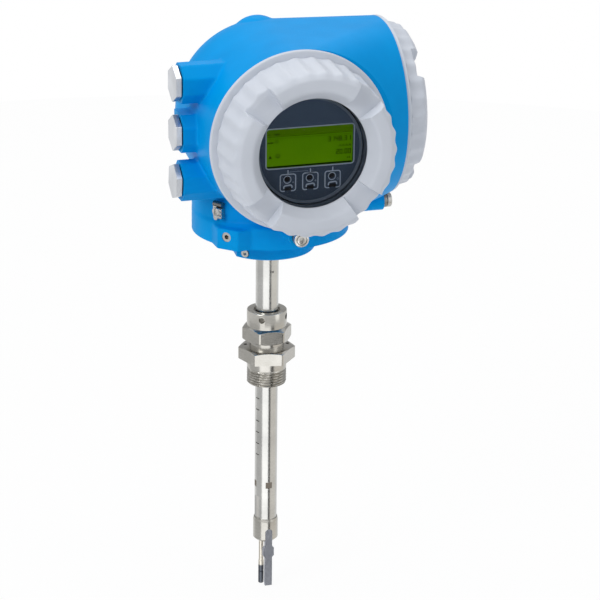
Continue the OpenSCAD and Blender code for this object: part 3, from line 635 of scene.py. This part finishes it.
def rounded_box(x0, y0, x1, y1, r):
    corners = ((x1 - r, y0 + r, -90), (x1 - r, y1 - r, 0), (x0 + r, y1 - r, 90),
               (x0 + r, y0 + r, 180))
    return [p for x, y, turn in corners for p in arc(x, y, r, turn, turn + 90, 5)]


# ---------------------------------------------------------------- covers

COVER_BORE_R = 59.95  # inside of a cover's thread
COVER_NECK_R = 63.15
COVER_THREAD_R = 63.95
FLANGE_R = 73
GRIP_FOOT_R = 66.9
GRIP_R, CREST_R = 68.6, 66
WINDOW_R, WINDOW_SEAT_R = 43.7, 47.8
LOBES, LOBE_DEPTH = 30, 1.45
NOTCHES = 4
NOTCH_HALF, NOTCH_EDGE = 11.7, 1.3  # half the width of a notch and its slope, in degrees


def cover(name, full, notch, closed, matrix, body):
    """A cover with soft grip lobes and dished spanner notches."""
    step = 360 / NOTCHES
    edges = [step * (q + 0.5) + side * (NOTCH_HALF - 0.7) + d for q in range(NOTCHES)
             for side in (-1, 1) for d in np.linspace(-1.4, 1.4, 15)]
    turns = turns_of(720, edges)
    offset = np.abs(np.degrees(turns) % step - step / 2)
    mask = smooth((NOTCH_HALF - offset) / NOTCH_EDGE)[:, None, None]
    profile = rounded(full, closed) * (1 - mask) + rounded(notch, closed) * mask
    lobe = LOBE_DEPTH * (0.5 - 0.5 * np.cos(LOBES * turns)) ** 0.85
    radius = profile[..., 0] - lobe[:, None] * profile[..., 2]
    points, faces = lathe(radius, profile[..., 1], turns, closed)
    shell = name + "_shell"
    mesh = mesh_of(shell, points, faces, matrix, 40)
    piece(shell, mesh, "grey", body, "grey_paint", name)


def cover_back(rim):
    """A cover's profile from its thread's end to the foot of its grip."""
    end, neck, seat, flange, grip = (rim + h for h in (-11.25, -4.25, 0.3, 3.9, 5.4))
    return [(COVER_BORE_R, end, 0, 0), (COVER_THREAD_R, end, 0.4, 0),
            (COVER_THREAD_R, neck, 0, 0), (COVER_NECK_R, neck, 0, 0), (COVER_NECK_R, seat, 0, 0),
            (FLANGE_R, seat, 0.3, 0), (FLANGE_R, flange, 1.4, 0), (GRIP_FOOT_R, flange, 0.4, 0),
            (GRIP_FOOT_R, grip, 0, 0), (GRIP_R, grip, 0.9, 1)]


def cover_crest(top, fillet):
    return [(CREST_R, top - 3.55, fillet, 1), (60.6, top, 5, 0), (51, top, 5, 0)]


def make_covers():
    back = cover_back(FRONT_RIM)
    bore = [(WINDOW_R, 121.9, 0.9, 0), (WINDOW_R, 120.4, 0, 0), (WINDOW_SEAT_R, 120.4, 0, 0),
            (WINDOW_SEAT_R, 106.9, 0, 0), (COVER_BORE_R, 102.9, 0, 0)]
    notch = [(66.6, 120, 2.5, 1), (60.6, 121, 5, 0), (51, 121.8, 5, 0)]
    cover("display_cover", back + cover_crest(131.35, 5) + bore, back + notch + bore, True,
          FRONT, "display_lid")

    back = [(0, 102.8, 0, 0), (COVER_BORE_R, 102.8, 1, 0)] + cover_back(SIDE_RIM)
    face = [(WINDOW_R, 108.8, 3, 0), (0, 108.8, 0, 0)]
    notch = [(66.9, 108.1, 2, 1), (60.6, 108.3, 5, 0), (51, 108.6, 5, 0)]
    cover("side_cover", back + cover_crest(115.35, 4) + face, back + notch + face, False,
          SIDE, "side_lid")


# ---------------------------------------------------------------- housing

RIM_HULL_R, BALL_R, BALL_Y = 72.7, 74.4, 4.5
WALL_R, DOME_R = 57, 24
LOCK_BOSS_R, GROUND_BOSS_R = 8, 6
POCKET_R, NECK_BORE_R, ENTRY_BORE_R = 38, 30.05, 10
LUG_HOLE_R, GROUND_HOLE_R, LOCK_HOLE_R = 4.05, 2.05, 3.05
OVERRUN = 4  # how far forms run past the faces that are cut after the blend
BOSS_HALF = 15.5  # half a cable boss across its flats
BOSS_START = 42
LUG = [(0, -21), (57.4, -21), (69.5, -8.1), (69.5, 10.5), (56.7, 20.2), (0, 20.2)]
MOUTH = [(62, -15), (64, -15), (64, -3.25), (66.45, -3.25), (66.45, 6)]  # from the rim
FAR = 110  # beyond the housing on every side


def housing_hull():
    """The two compartments and the ball at their corner, in one taut skin."""
    cloud = []
    for t in np.radians(np.arange(0, 360, 1.5)):
        c, s = RIM_HULL_R * math.cos(t), RIM_HULL_R * math.sin(t)
        for y in (-FRONT_RIM - 3.5, 5 - FRONT_RIM):
            cloud.append((c, y, AXIS_Z + s))
        for x in (SIDE_RIM + 3.5, SIDE_RIM - 5.8):
            cloud.append((x, c, AXIS_Z + s))
    for lift in np.radians(np.arange(-88.5, 90, 2.5)):
        r, z = BALL_R * math.cos(lift), AXIS_Z + BALL_R * math.sin(lift)
        for t in np.radians(np.arange(0, 360, 2.5)):
            cloud.append((r * math.cos(t), BALL_Y + r * math.sin(t), z))
    bm = bmesh.new()
    hull = bmesh.ops.convex_hull(bm, input=[bm.verts.new(Vector(p) * MM) for p in cloud])
    loose = {v for key in ("geom_interior", "geom_unused") for v in hull[key]
             if isinstance(v, bmesh.types.BMVert)}
    bmesh.ops.delete(bm, geom=list(loose), context="VERTS")
    mesh = bpy.data.meshes.new("hull")
    bm.to_mesh(mesh)
    bm.free()
    return mesh


def housing_shells():
    """Closed forms that melt into each other."""
    low, slope, boss_end = FOOT_Z - OVERRUN, 134, ENTRY_X + OVERRUN
    corner = BOSS_HALF / math.cos(math.pi / 8)
    octagon = [(corner * math.cos(t), corner * math.sin(t))
               for t in np.radians(22.5 + 45 * np.arange(8))]
    dome = [(DOME_R * math.cos(t), DOME_R * math.sin(t))
            for t in np.radians(np.linspace(-90, 90, 48))]
    return [
        housing_hull(),
        rod_mesh(FOOT_R, low, slope), rod_mesh(FOOT_R, low, slope, shift(4.4, 0, 0)),
        plain_lathe("slope", [(0, slope - 1), (FOOT_R, slope - 1), (FOOT_R, slope),
                              (WALL_R, slope + 4), (0, slope + 4)]),
        rod_mesh(WALL_R, slope, WALL_TOP),
        rod_mesh(WALL_R + 1, slope, WALL_TOP, shift(-4, 2, 0)),
        prism_mesh("lug", LUG, low, slope - 0.5, turned(LUG_TURN)),
        prism_mesh("root", rectangle(-BOSS_HALF, 0, BOSS_HALF, BOSS_HALF), BOSS_START, boss_end,
                   entry(0)),
        rod_mesh(LOCK_BOSS_R, 49, FRONT_RIM + OVERRUN, FRONT_LOCK, 48),
        rod_mesh(LOCK_BOSS_R, 33, SIDE_RIM + OVERRUN, SIDE_LOCK, 48),
        rod_mesh(GROUND_BOSS_R, 53, 61, GROUND, 48),
        *(prism_mesh("boss", octagon, BOSS_START, boss_end, entry(row)) for row in ROWS),
        plain_lathe("dome", dome, shift(-4, 18.5, AXIS_Z + 52), 96)]


def housing_cutters():
    """Crisp faces, compartments, and the holes for screws and plugs."""
    def mouth(rim, floor, matrix):
        lip = [(r, rim + h) for r, h in MOUTH]
        return plain_lathe("mouth", [(0, floor), (62, floor)] + lip + [(0, rim + 6)], matrix, 192)

    return [
        mouth(FRONT_RIM, 19, FRONT), mouth(SIDE_RIM, 64.8, SIDE),
        rod_mesh(POCKET_R, -30.4, 65.8, shift(0, 23, 0) @ SIDE),
        rod_mesh(NECK_BORE_R, 100, 140.3),
        box_mesh(-FAR, -120, 90, FAR, -FRONT_RIM, 300),
        box_mesh(SIDE_RIM, -100, 100, 130, 100, 300),
        box_mesh(-FAR, -75, 150, -ENTRY_X, 0, 280),
        box_mesh(-FAR, -FAR, 90, FAR, FAR, FOOT_Z),
        rod_mesh(LUG_HOLE_R, 29, 80, LUG_SCREW, 48),
        rod_mesh(GROUND_HOLE_R, 53, 66, GROUND, 32),
        rod_mesh(LOCK_HOLE_R, FRONT_RIM - 12, FRONT_RIM + 5, FRONT_LOCK, 32),
        rod_mesh(LOCK_HOLE_R, SIDE_RIM - 12, SIDE_RIM + 5, SIDE_LOCK, 32),
        *(rod_mesh(ENTRY_BORE_R, 31, ENTRY_X + 5, entry(row), 64) for row in ROWS)]


def make_housing():
    """Cast housing: its forms get soft fillets, then faces and bores are cut crisp."""
    blank = bpy.data.objects.new("housing_blank", joined("housing_blank", housing_shells()))
    scene.collection.objects.link(blank)
    applied(blank, "REMESH", mode="VOXEL", voxel_size=0.95 * MM)
    applied(blank, "SMOOTH", factor=0.5, iterations=9)
    for cutter in housing_cutters():
        subtract(blank, cutter)
    mesh = blank.data
    crisp(mesh)
    bpy.data.objects.remove(blank)
    mesh.name = "housing_casting"
    piece("housing_casting", mesh, "blue", "transmitter", "blue_paint", "housing")


# ---------------------------------------------------------------- fitting, nut and plugs

FITTING_AF, FITTING_TURN = 42, 48.1
FITTING_TOP = 10.9  # upper end of the hexagon
THREAD_R, THREAD_END = 16.6, -21.6
THREAD_PITCH, THREAD_DEPTH = 2.309, 1.45
SPIGOT_R, SPIGOT_TOP = 14.5, 27.9
FERRULE_R, FERRULE_Z = 11.825, 20.6
NUT_AF, NUT_TURN = 37, 56.4
NUT_LOW, NUT_THREAD_R, NUT_THREAD_TOP = 17.2, 14.55, 31.5
COLLAR_R, NUT_BORE_R, NUT_BORE_TOP = 16.75, 9.825, 41.6
PLUG_AF, PLUG_THREAD_R, PLUG_END = 25.6, 9.95, 73.5
PLUG_SEAT, PLUG_TOP = 85.5, 90.2
PLUG_TURNS = {"upper_plug": -1, "middle_plug": 1, "lower_plug": -8}


def hex_turns(turn):
    """Turns that are finer at a hexagon's corners."""
    return turns_of(240, turn + np.concatenate([60 * k + np.array([-0.8, 0, 0.8])
                                                for k in range(6)]))


def hexagon(turns, af, turn):
    """Radius of a hexagon with slightly blunt corners."""
    corner = (np.degrees(turns) - turn) % 60 - 30
    full = af / 2 / math.cos(math.radians(30))
    return np.minimum(af / 2 / np.cos(np.radians(corner)), full * 0.985)


def chamfered(z, low, high, af, depth):
    """Radius of the chamfer turned on a hexagon's ends."""
    end, corner = af / 2 * 0.97, af / 2 / math.cos(math.radians(30))
    return end + (corner - end) * np.minimum(z - low, high - z) / depth


def make_fitting():
    """Fitting with a real pipe thread that runs out below the plain band."""
    turns = hex_turns(FITTING_TURN)
    form = Turned(turns)
    form.add(TUBE_BORE_R, THREAD_END)
    for z in np.arange(THREAD_END, -6.7, 0.18):
        phase = ((z - THREAD_END) / THREAD_PITCH - np.degrees(turns) / 360) % 1
        groove = np.clip(1.25 * (1 - np.abs(2 * phase - 1)) - 0.05, 0, 1)
        fade = smooth((z + 21.9) / 1.2) * smooth((-7.1 - z) / 1.6)
        lead_in = 15.5 + (z - THREAD_END) * 1.4
        form.add(np.minimum(THREAD_R - THREAD_DEPTH * groove * fade, lead_in), z)
    form.add(THREAD_R, -6.6)
    form.add(THREAD_R, 0)
    bounds = hexagon(turns, FITTING_AF, FITTING_TURN)
    for z in (0, 9.3, *np.linspace(9.5, FITTING_TOP, 12)):
        form.add(np.minimum(bounds, chamfered(z, -5, FITTING_TOP, FITTING_AF, 1.5)), z)
    for r, z in ((SPIGOT_R, FITTING_TOP), (SPIGOT_R, SPIGOT_TOP - 0.5),
                 (SPIGOT_R - 0.4, SPIGOT_TOP), (FERRULE_R, SPIGOT_TOP), (FERRULE_R, FERRULE_Z),
                 (TUBE_BORE_R, FERRULE_Z)):
        form.add(r, z)
    name = "process_fitting_turned"
    made = piece(name, form.mesh(name), "steel", "fitting", "steel", "process_fitting")
    for turn in (110, -50):
        t = math.radians(FITTING_TURN + turn)
        cut(made, rod_mesh(1.5, 5.45, 14, shift(18 * math.cos(t), 18 * math.sin(t), 0), 24))


def make_nut():
    """Union nut with a cone up to its straight collar, and four holes for a pin spanner."""
    turns = hex_turns(NUT_TURN)
    bounds = hexagon(turns, NUT_AF, NUT_TURN)
    form = Turned(turns)
    form.add(NUT_THREAD_R, NUT_THREAD_TOP)
    form.add(NUT_THREAD_R, NUT_LOW)
    for z in np.linspace(NUT_LOW, 19.1, 12):
        form.add(np.minimum(bounds, chamfered(z, NUT_LOW, 60, NUT_AF, 1.9)), z)
    for z in np.linspace(25.6, 29.9, 40):
        form.add(np.minimum(bounds, 21.36 - 4.61 * (z - 27.75) / 2.15), z)
    for r, z in ((COLLAR_R, 29.9), (COLLAR_R, 42.9), (16.4, 43.5), (15.9, 43.7), (11.7, 43.7),
                 (11.1, 43.2), (10.9, NUT_BORE_TOP), (NUT_BORE_R, NUT_BORE_TOP),
                 (NUT_BORE_R, NUT_THREAD_TOP)):
        form.add(r, z)
    name = "compression_nut_turned"
    made = piece(name, form.mesh(name, sharp=30), "steel", "nut", "steel", "compression_nut")
    for k in range(4):
        cut(made, rod_mesh(2.6, 10.6, 20, radial(58.5 + 90 * k, 38.6), 32))


def make_plugs():
    """Blanking plugs: a flat hexagon with broken edges on its thread."""
    for row, (plug, turn) in zip(ROWS, PLUG_TURNS.items()):
        turns = hex_turns(turn)
        bounds = hexagon(turns, PLUG_AF, turn)
        form = Turned(turns)
        for r, z in ((0, PLUG_END), (PLUG_THREAD_R, PLUG_END), (PLUG_THREAD_R, PLUG_SEAT),
                     (bounds - 0.3, PLUG_SEAT), (bounds, PLUG_SEAT + 0.3),
                     (bounds, PLUG_TOP - 0.4), (bounds - 0.4, PLUG_TOP), (0, PLUG_TOP)):
            form.add(r, z)
        name = plug + "_head"
        piece(name, form.mesh(name, entry(row), False, 30), "plug", plug + "_body",
              "plug_plastic", plug)


# ---------------------------------------------------------------- printed things

KEY_PITCH, KEY_SHIFT = 18.1, 0.7
PRINT_T = 0.05  # thickness of print
RIM_R = 42.3
SEGMENTS = {"0": "abcdef", "1": "bc", "2": "abged", "3": "abgcd", "4": "fgbc", "5": "afgcd",
            "8": "abcdefg"}


def make_face_print():
    """Frame round the screen, three key signs and the rim of the display face, with painted light
    at each key: a painted highlight on the upper edge of a recess and painted shade inside it.
    """
    low, high = FACE_TOP, FACE_TOP + PRINT_T
    light, faint, recess_shade = Solid(), Solid(), Solid()
    light.stroke(rounded_box(-35.2, -12.9, 35.9, 19.0, 2.4), 0.9, low, high, True)
    for k in (-1, 0, 1):
        x = KEY_PITCH * k + KEY_SHIFT
        left = ([(x - 2.6, -31.4)] + arc(x - 4.4, -29.6, 1.8, 270, 180, 5)
                + arc(x - 4.4, -19.8, 1.8, 180, 90, 5) + [(x, -18.0)])
        for side in (-1, 1):
            light.stroke([(x + side * (px - x), py) for px, py in left], 0.85, low, high)
        light.bar(x - 0.45, -17.6, x + 0.45, -14.6, low, high)
        light.stroke(ring(x - 0.5, -22.2, 2.9), 0.6, low, high, True)
        # Painted highlight: this arch is the lit upper edge of the recess under each key.
        light.stroke([(x - 3.3, -29.4)] + arc(x - 2.0, -28.4, 1.3, 180, 90, 4)
                     + arc(x + 2.0, -28.0, 1.3, 90, 0, 4) + [(x + 3.3, -29.0)], 1.0, low, high)
        # Painted shade: a dark sheet stands where the recess under each key lies in shade.
        recess_shade.bar(x - 2.9, -31.0, x + 2.9, -28.3, low - 0.02, low + 0.03)
        if k < 1:
            faint.bar(x + 3.4, -24.9, x + 5.0, -24.3, low, high)
        if k == 0:
            faint.bar(x + 3.9, -25.4, x + 4.5, -23.8, low, high)
        if k > 0:
            faint.stroke(ring(x + 4.2, -24.6, 0.7, 12), 0.35, low, high, True)
    faint.stroke([(-16.0, -17.2), (-16.0, -16.2), (-1.4, -16.2), (-1.4, -17.2)], 0.4, low, high)
    rim = [(RIM_R - 2, low), (RIM_R - 0.3, low + 1.7), (RIM_R, low + 1.6), (RIM_R, low)]
    rim_mesh = plain_lathe("face_rim", rim, FRONT, 160, True)
    for name, mesh, look in (("face_slot_shade", recess_shade.mesh("face_slot_shade", FRONT), "lens"),
                             ("face_rim", rim_mesh, "rim"),
                             ("face_lines", light.mesh("face_lines", FRONT), "print"),
                             ("face_marks", faint.mesh("face_marks", FRONT), "faint")):
        piece(name, mesh, look, "display", "face_plastic")


def digits(solid, text, right, base, height, stroke, low, high):
    """Plain bar digits whose last one ends at the given right edge."""
    width, middle = height * 0.58, height / 2
    bars = {"a": (0, height - stroke, width, height), "d": (0, 0, width, stroke),
            "g": (0, middle - stroke / 2, width, middle + stroke / 2),
            "f": (0, middle, stroke, height), "b": (width - stroke, middle, width, height),
            "e": (0, 0, stroke, middle), "c": (width - stroke, 0, width, middle)}
    x = right
    for mark in reversed(text):
        if mark == ".":
            x -= stroke * 1.2
            solid.bar(x, base, x + stroke, base + stroke, low, high)
            x -= stroke * 0.9
            continue
        x -= width
        for segment in SEGMENTS[mark]:
            x0, y0, x1, y1 = bars[segment]
            solid.bar(x + x0, base + y0, x + x1, base + y1, low, high)
        x -= stroke * 1.1


def make_screen_print():
    """Plain readings and generic signs on the screen, and a painted shadow along its lower edge.
    """
    low, high = LCD_TOP, LCD_TOP + PRINT_T
    ink_and_shade, band = Solid(), Solid()
    digits(ink_and_shade, "3148.31", 33.4, 5.6, 4.0, 0.6, low, high)
    digits(ink_and_shade, "20.00", 33.6, -5.0, 3.9, 0.55, low, high)
    digits(ink_and_shade, "4052", -24.0, 13.4, 1.5, 0.32, low, high)
    for x in (23.9, 26.6, 29.2, 31.8):
        ink_and_shade.stroke([(x, 1.0), (x + 0.9, 2.6), (x + 1.7, 1.0)], 0.45, low, high)
    # Painted shadow: the wide bar from -34.3, -12.3 to 34.3, -11.0 is the shade along the
    # screen's lower edge.
    for sign in ((30.8, -8.8, 31.5, -7.6), (32.2, -8.8, 32.9, -7.6), (-33.8, 14.0, -31.0, 14.5),
                 (-34.3, 12.3, 34.3, 12.65), (-34.3, 10.75, 34.3, 10.95),
                 (-34.3, -12.3, 34.3, -11.0), (-25.65, -4.5, -25.15, -2.6)):
        ink_and_shade.bar(*sign, low, high)
    arrow = [(-34.0, 7.4), (-30.4, 7.4), (-30.4, 6.8), (-28.7, 7.8), (-30.4, 8.8), (-30.4, 8.2),
             (-34.0, 8.2)]
    ink_and_shade.prism(arrow, low, high)
    ink_and_shade.prism([(-32.8, -4.7), (-31.5, -2.2), (-30.2, -4.7)], low, high)
    ink_and_shade.stroke(ring(-26.3, 8.6, 1.1, 16), 0.45, low, high, True)
    ink_and_shade.stroke(ring(-25.4, -2.9, 1.6, 16), 0.5, low, high, True)
    band.bar(-34.6, 12.9, 34.6, 18.4, LCD_TOP, LCD_TOP + 0.02)
    piece("screen_signs_and_shade", ink_and_shade.mesh("screen_signs_and_shade", FRONT), "ink_and_shade", "display", "lcd")
    piece("screen_band", band.mesh("screen_band", FRONT), "band", "display", "lcd")


def make_tube_marks():
    """Etched depth marks on the tube, a hair proud of its surface."""
    points, faces = [], []
    outer, inner, steps = 9.54, 9.34, 8

    def patch(turn, z, half_angle, half_height):
        base, low, high = len(points), z - half_height, z + half_height
        for t in np.radians(np.linspace(turn - half_angle, turn + half_angle, steps + 1)):
            for r, height in ((inner, low), (inner, high), (outer, high), (outer, low)):
                points.append((r * math.cos(t), r * math.sin(t), height))
        for k in range(steps):
            p, q = base + 4 * k, base + 4 * (k + 1)
            for s in range(4):
                u = (s + 1) % 4
                faces.append([p + s, p + u, q + u, q + s])
        faces.append([base + s for s in range(4)])
        faces.append([base + 4 * steps + s for s in (3, 2, 1, 0)])

    for k in range(6):
        patch(-158, -35 - 10.32 * k, 13, 0.45)
    for turn in (-88, -81, -74):
        patch(turn, 78.9, 2.2, 0.9)
    piece("tube_marks", mesh_of("tube_marks", points, faces), "mark", "stem", "tube_steel")


# ---------------------------------------------------------------- small metal things

def make_ground_terminal():
    """Outer earth terminal: a ribbed jaw with a rounded tail, a threaded rod and a screw."""
    shells = [box_mesh(-3.6, -5.4, 61, 4.6, 5.8, 62.8, GROUND),
              box_mesh(-3.4, 1.6, 61, 5.6, 5.9, 64.6, GROUND),
              box_mesh(2, -4.6, 61, 6.2, -0.4, 63.2, GROUND),
              rod_mesh(2.1, 61, 63.2, GROUND @ shift(6.2, -2.5, 0), 48)]
    shells += [rod_mesh(1.5, 1.6, 5.9, GROUND @ shift(x, 0, 64.4) @ LYING, 32)
               for x in (-1.9, 1.1, 4.1)]
    made = piece("ground_jaw", joined("ground_jaw", shells), "screw", "transmitter", "screw",
                 "ground_clamp")
    applied(made, "REMESH", mode="VOXEL", voxel_size=0.18 * MM)
    applied(made, "SMOOTH", factor=0.5, iterations=3)
    made.data.materials.clear()
    made.data.materials.append(LOOKS["screw"])
    cut(made, rod_mesh(2.1, 50, 72, GROUND, 48))

    ridges = [(2.3 - 0.6 * (k % 2), -3.4 + 0.45 * k) for k in range(21)]
    rod = plain_lathe("ground_thread", [(0, -3.4)] + ridges + [(0, 5.6)],
                      GROUND @ shift(-6.1, 0, 63.4) @ LYING, 48)
    piece("ground_thread", rod, "pin", "transmitter", "screw", "ground_clamp")

    profile = [(0, 57.2), (1.95, 57.2), (1.95, 63.1), (3.6, 63.1), (3.7, 65.4), (3.3, 66.1),
               (2.2, 66.6), (0, 66.7)]
    head = plain_lathe("ground_screw_head", profile, GROUND, 64)
    made = piece("ground_screw_head", head, "screw", "ground_lug_screw", "screw", "ground_screw")
    cut(made, box_mesh(-6, -0.45, 65.6, 6, 0.45, 70, GROUND))


def make_locks():
    """Screws of the cover locks: a ringed head with a hexagon socket."""
    for lock, rim, place in (("front_lock", FRONT_RIM, FRONT_LOCK),
                             ("side_lock", SIDE_RIM, SIDE_LOCK)):
        seat, top = rim + 3.5, rim + 7.5
        shank = [(0, rim - 11.7), (3, rim - 11.7), (3, seat), (5.5, seat), (6, seat + 0.5)]
        rings = [(6, -0.6), (5.6, -0.1), (5.1, 0), (4.6, -0.2), (4.3, -1.2), (3.9, -1.2),
                 (3.6, -0.3), (3.2, -0.1), (0, -0.1)]
        name = lock + "_head"
        head = plain_lathe(name, shank + [(r, top + h) for r, h in rings], place, 64)
        made = piece(name, head, "screw", lock, "screw", lock + "_screw")
        cut(made, rod_mesh(2.1, top - 2.5, top + 2, place, 6))


# ---------------------------------------------------------------- stage

FLOOR_R, FLOOR_GAP = 1.6, 0.0005
CARD_AWAY, CARD_LOW, CARD_HIGH = 0.75, -1.0, -0.125
LAMP_TARGET = (0, 0, 0.12)


def make_floor():
    """White floor that keeps a faint shadow; metal doesn't mirror it."""
    s = Shader("floor")
    s.set(Roughness=0.9, Base_Color=(0.9, 0.9, 0.9, 1))
    white = s.add("ShaderNodeEmission", Strength=1.0)
    share = s.calc("MULTIPLY", s.rays("Is Camera Ray", "Is Transmission Ray"), 0.95)
    s.link(s.mix(share, s.bsdf, white), s.out.inputs["Surface"])
    z = cad_box[0][2] - FLOOR_GAP
    edge = [(FLOOR_R * math.cos(t), FLOOR_R * math.sin(t), z)
            for t in np.radians(np.arange(0, 360, 5))]
    mesh = bpy.data.meshes.new("floor")
    mesh.from_pydata(edge, [], [list(range(len(edge)))])
    mesh.materials.append(s.mat)
    floor = bpy.data.objects.new("floor", mesh)
    scene.collection.objects.link(floor)
    floor.visible_glossy = False


def make_card(name, turn, width, level, colour=(1, 1, 1, 1), away=CARD_AWAY, low=CARD_LOW,
              high=CARD_HIGH):
    """A card that only reflections see, standing at a turn about the stem."""
    s = Shader(name)
    glow = s.add("ShaderNodeEmission", Strength=level, Color=colour)
    s.link(glow.outputs[0], s.out.inputs["Surface"])
    steps = 6
    corners = [(away * math.cos(t), away * math.sin(t), z)
               for t in np.radians(np.linspace(turn - width / 2, turn + width / 2, steps + 1))
               for z in (low, high)]
    mesh = bpy.data.meshes.new(name)
    mesh.from_pydata(corners, [], [[2 * k, 2 * k + 2, 2 * k + 3, 2 * k + 1]
                                   for k in range(steps)])
    mesh.materials.append(s.mat)
    made = bpy.data.objects.new(name, mesh)
    scene.collection.objects.link(made)
    made.visible_camera = made.visible_diffuse = False
    made.visible_transmission = made.visible_shadow = False


def make_world():
    """White where it is seen or mirrored, and a soft even light on everything."""
    world = bpy.data.worlds.new("world")
    scene.world = world
    world.use_nodes = True
    tree = Tree(world.node_tree)
    out = tree.add("ShaderNodeOutputWorld")
    ambient = tree.add("ShaderNodeBackground", Color=(0.95, 0.97, 1.0, 1), Strength=0.4)
    white = tree.add("ShaderNodeBackground", Color=(1, 1, 1, 1), Strength=1.0)
    seen = tree.rays("Is Camera Ray", "Is Glossy Ray", "Is Transmission Ray")
    tree.link(tree.mix(seen, ambient, white), out.inputs["Surface"])


def make_lamp(name, place, size, power):
    """A rectangular lamp that looks at the middle of the meter."""
    data = bpy.data.lights.new(name, "AREA")
    data.shape = "RECTANGLE"
    data.size, data.size_y = size
    data.energy = power
    lamp = bpy.data.objects.new(name, data)
    lamp.location = place
    aim = Vector(LAMP_TARGET) - Vector(place)
    lamp.rotation_euler = aim.to_track_quat("-Z", "Y").to_euler()
    scene.collection.objects.link(lamp)


def make_stage():
    make_floor()
    make_card("dark_flag_right", -74, 20, 0.12)
    make_card("white_card", -115.5, 63, 2.0)
    make_card("grey_card_left", -183.5, 73, 0.75)
    make_card("grey_card_back", 73, 100, 0.5, away=1.2, low=0.12, high=1.0)
    make_card("warm_card_right", -29, 70, 1.05, (1, 0.96, 0.9, 1))
    make_world()
    make_lamp("key_lamp", (-1.5, -0.9, 1.3), (0.9, 1.1), 17.5)
    make_lamp("fill_lamp", (1.3, -1.3, 0.6), (0.8, 1.4), 4.5)
    make_lamp("top_lamp", (0.1, 0.2, 1.7), (1.2, 1.2), 10)
    make_lamp("back_lamp", (0.6, 1.5, 0.8), (1.2, 1.0), 6)


make_camera()
dress_cad()
make_covers()
make_housing()
make_fitting()
make_nut()
make_face_print()
make_screen_print()
make_tube_marks()
make_ground_terminal()
make_locks()
make_plugs()
make_stage()
scene.view_settings.view_transform = "Standard"
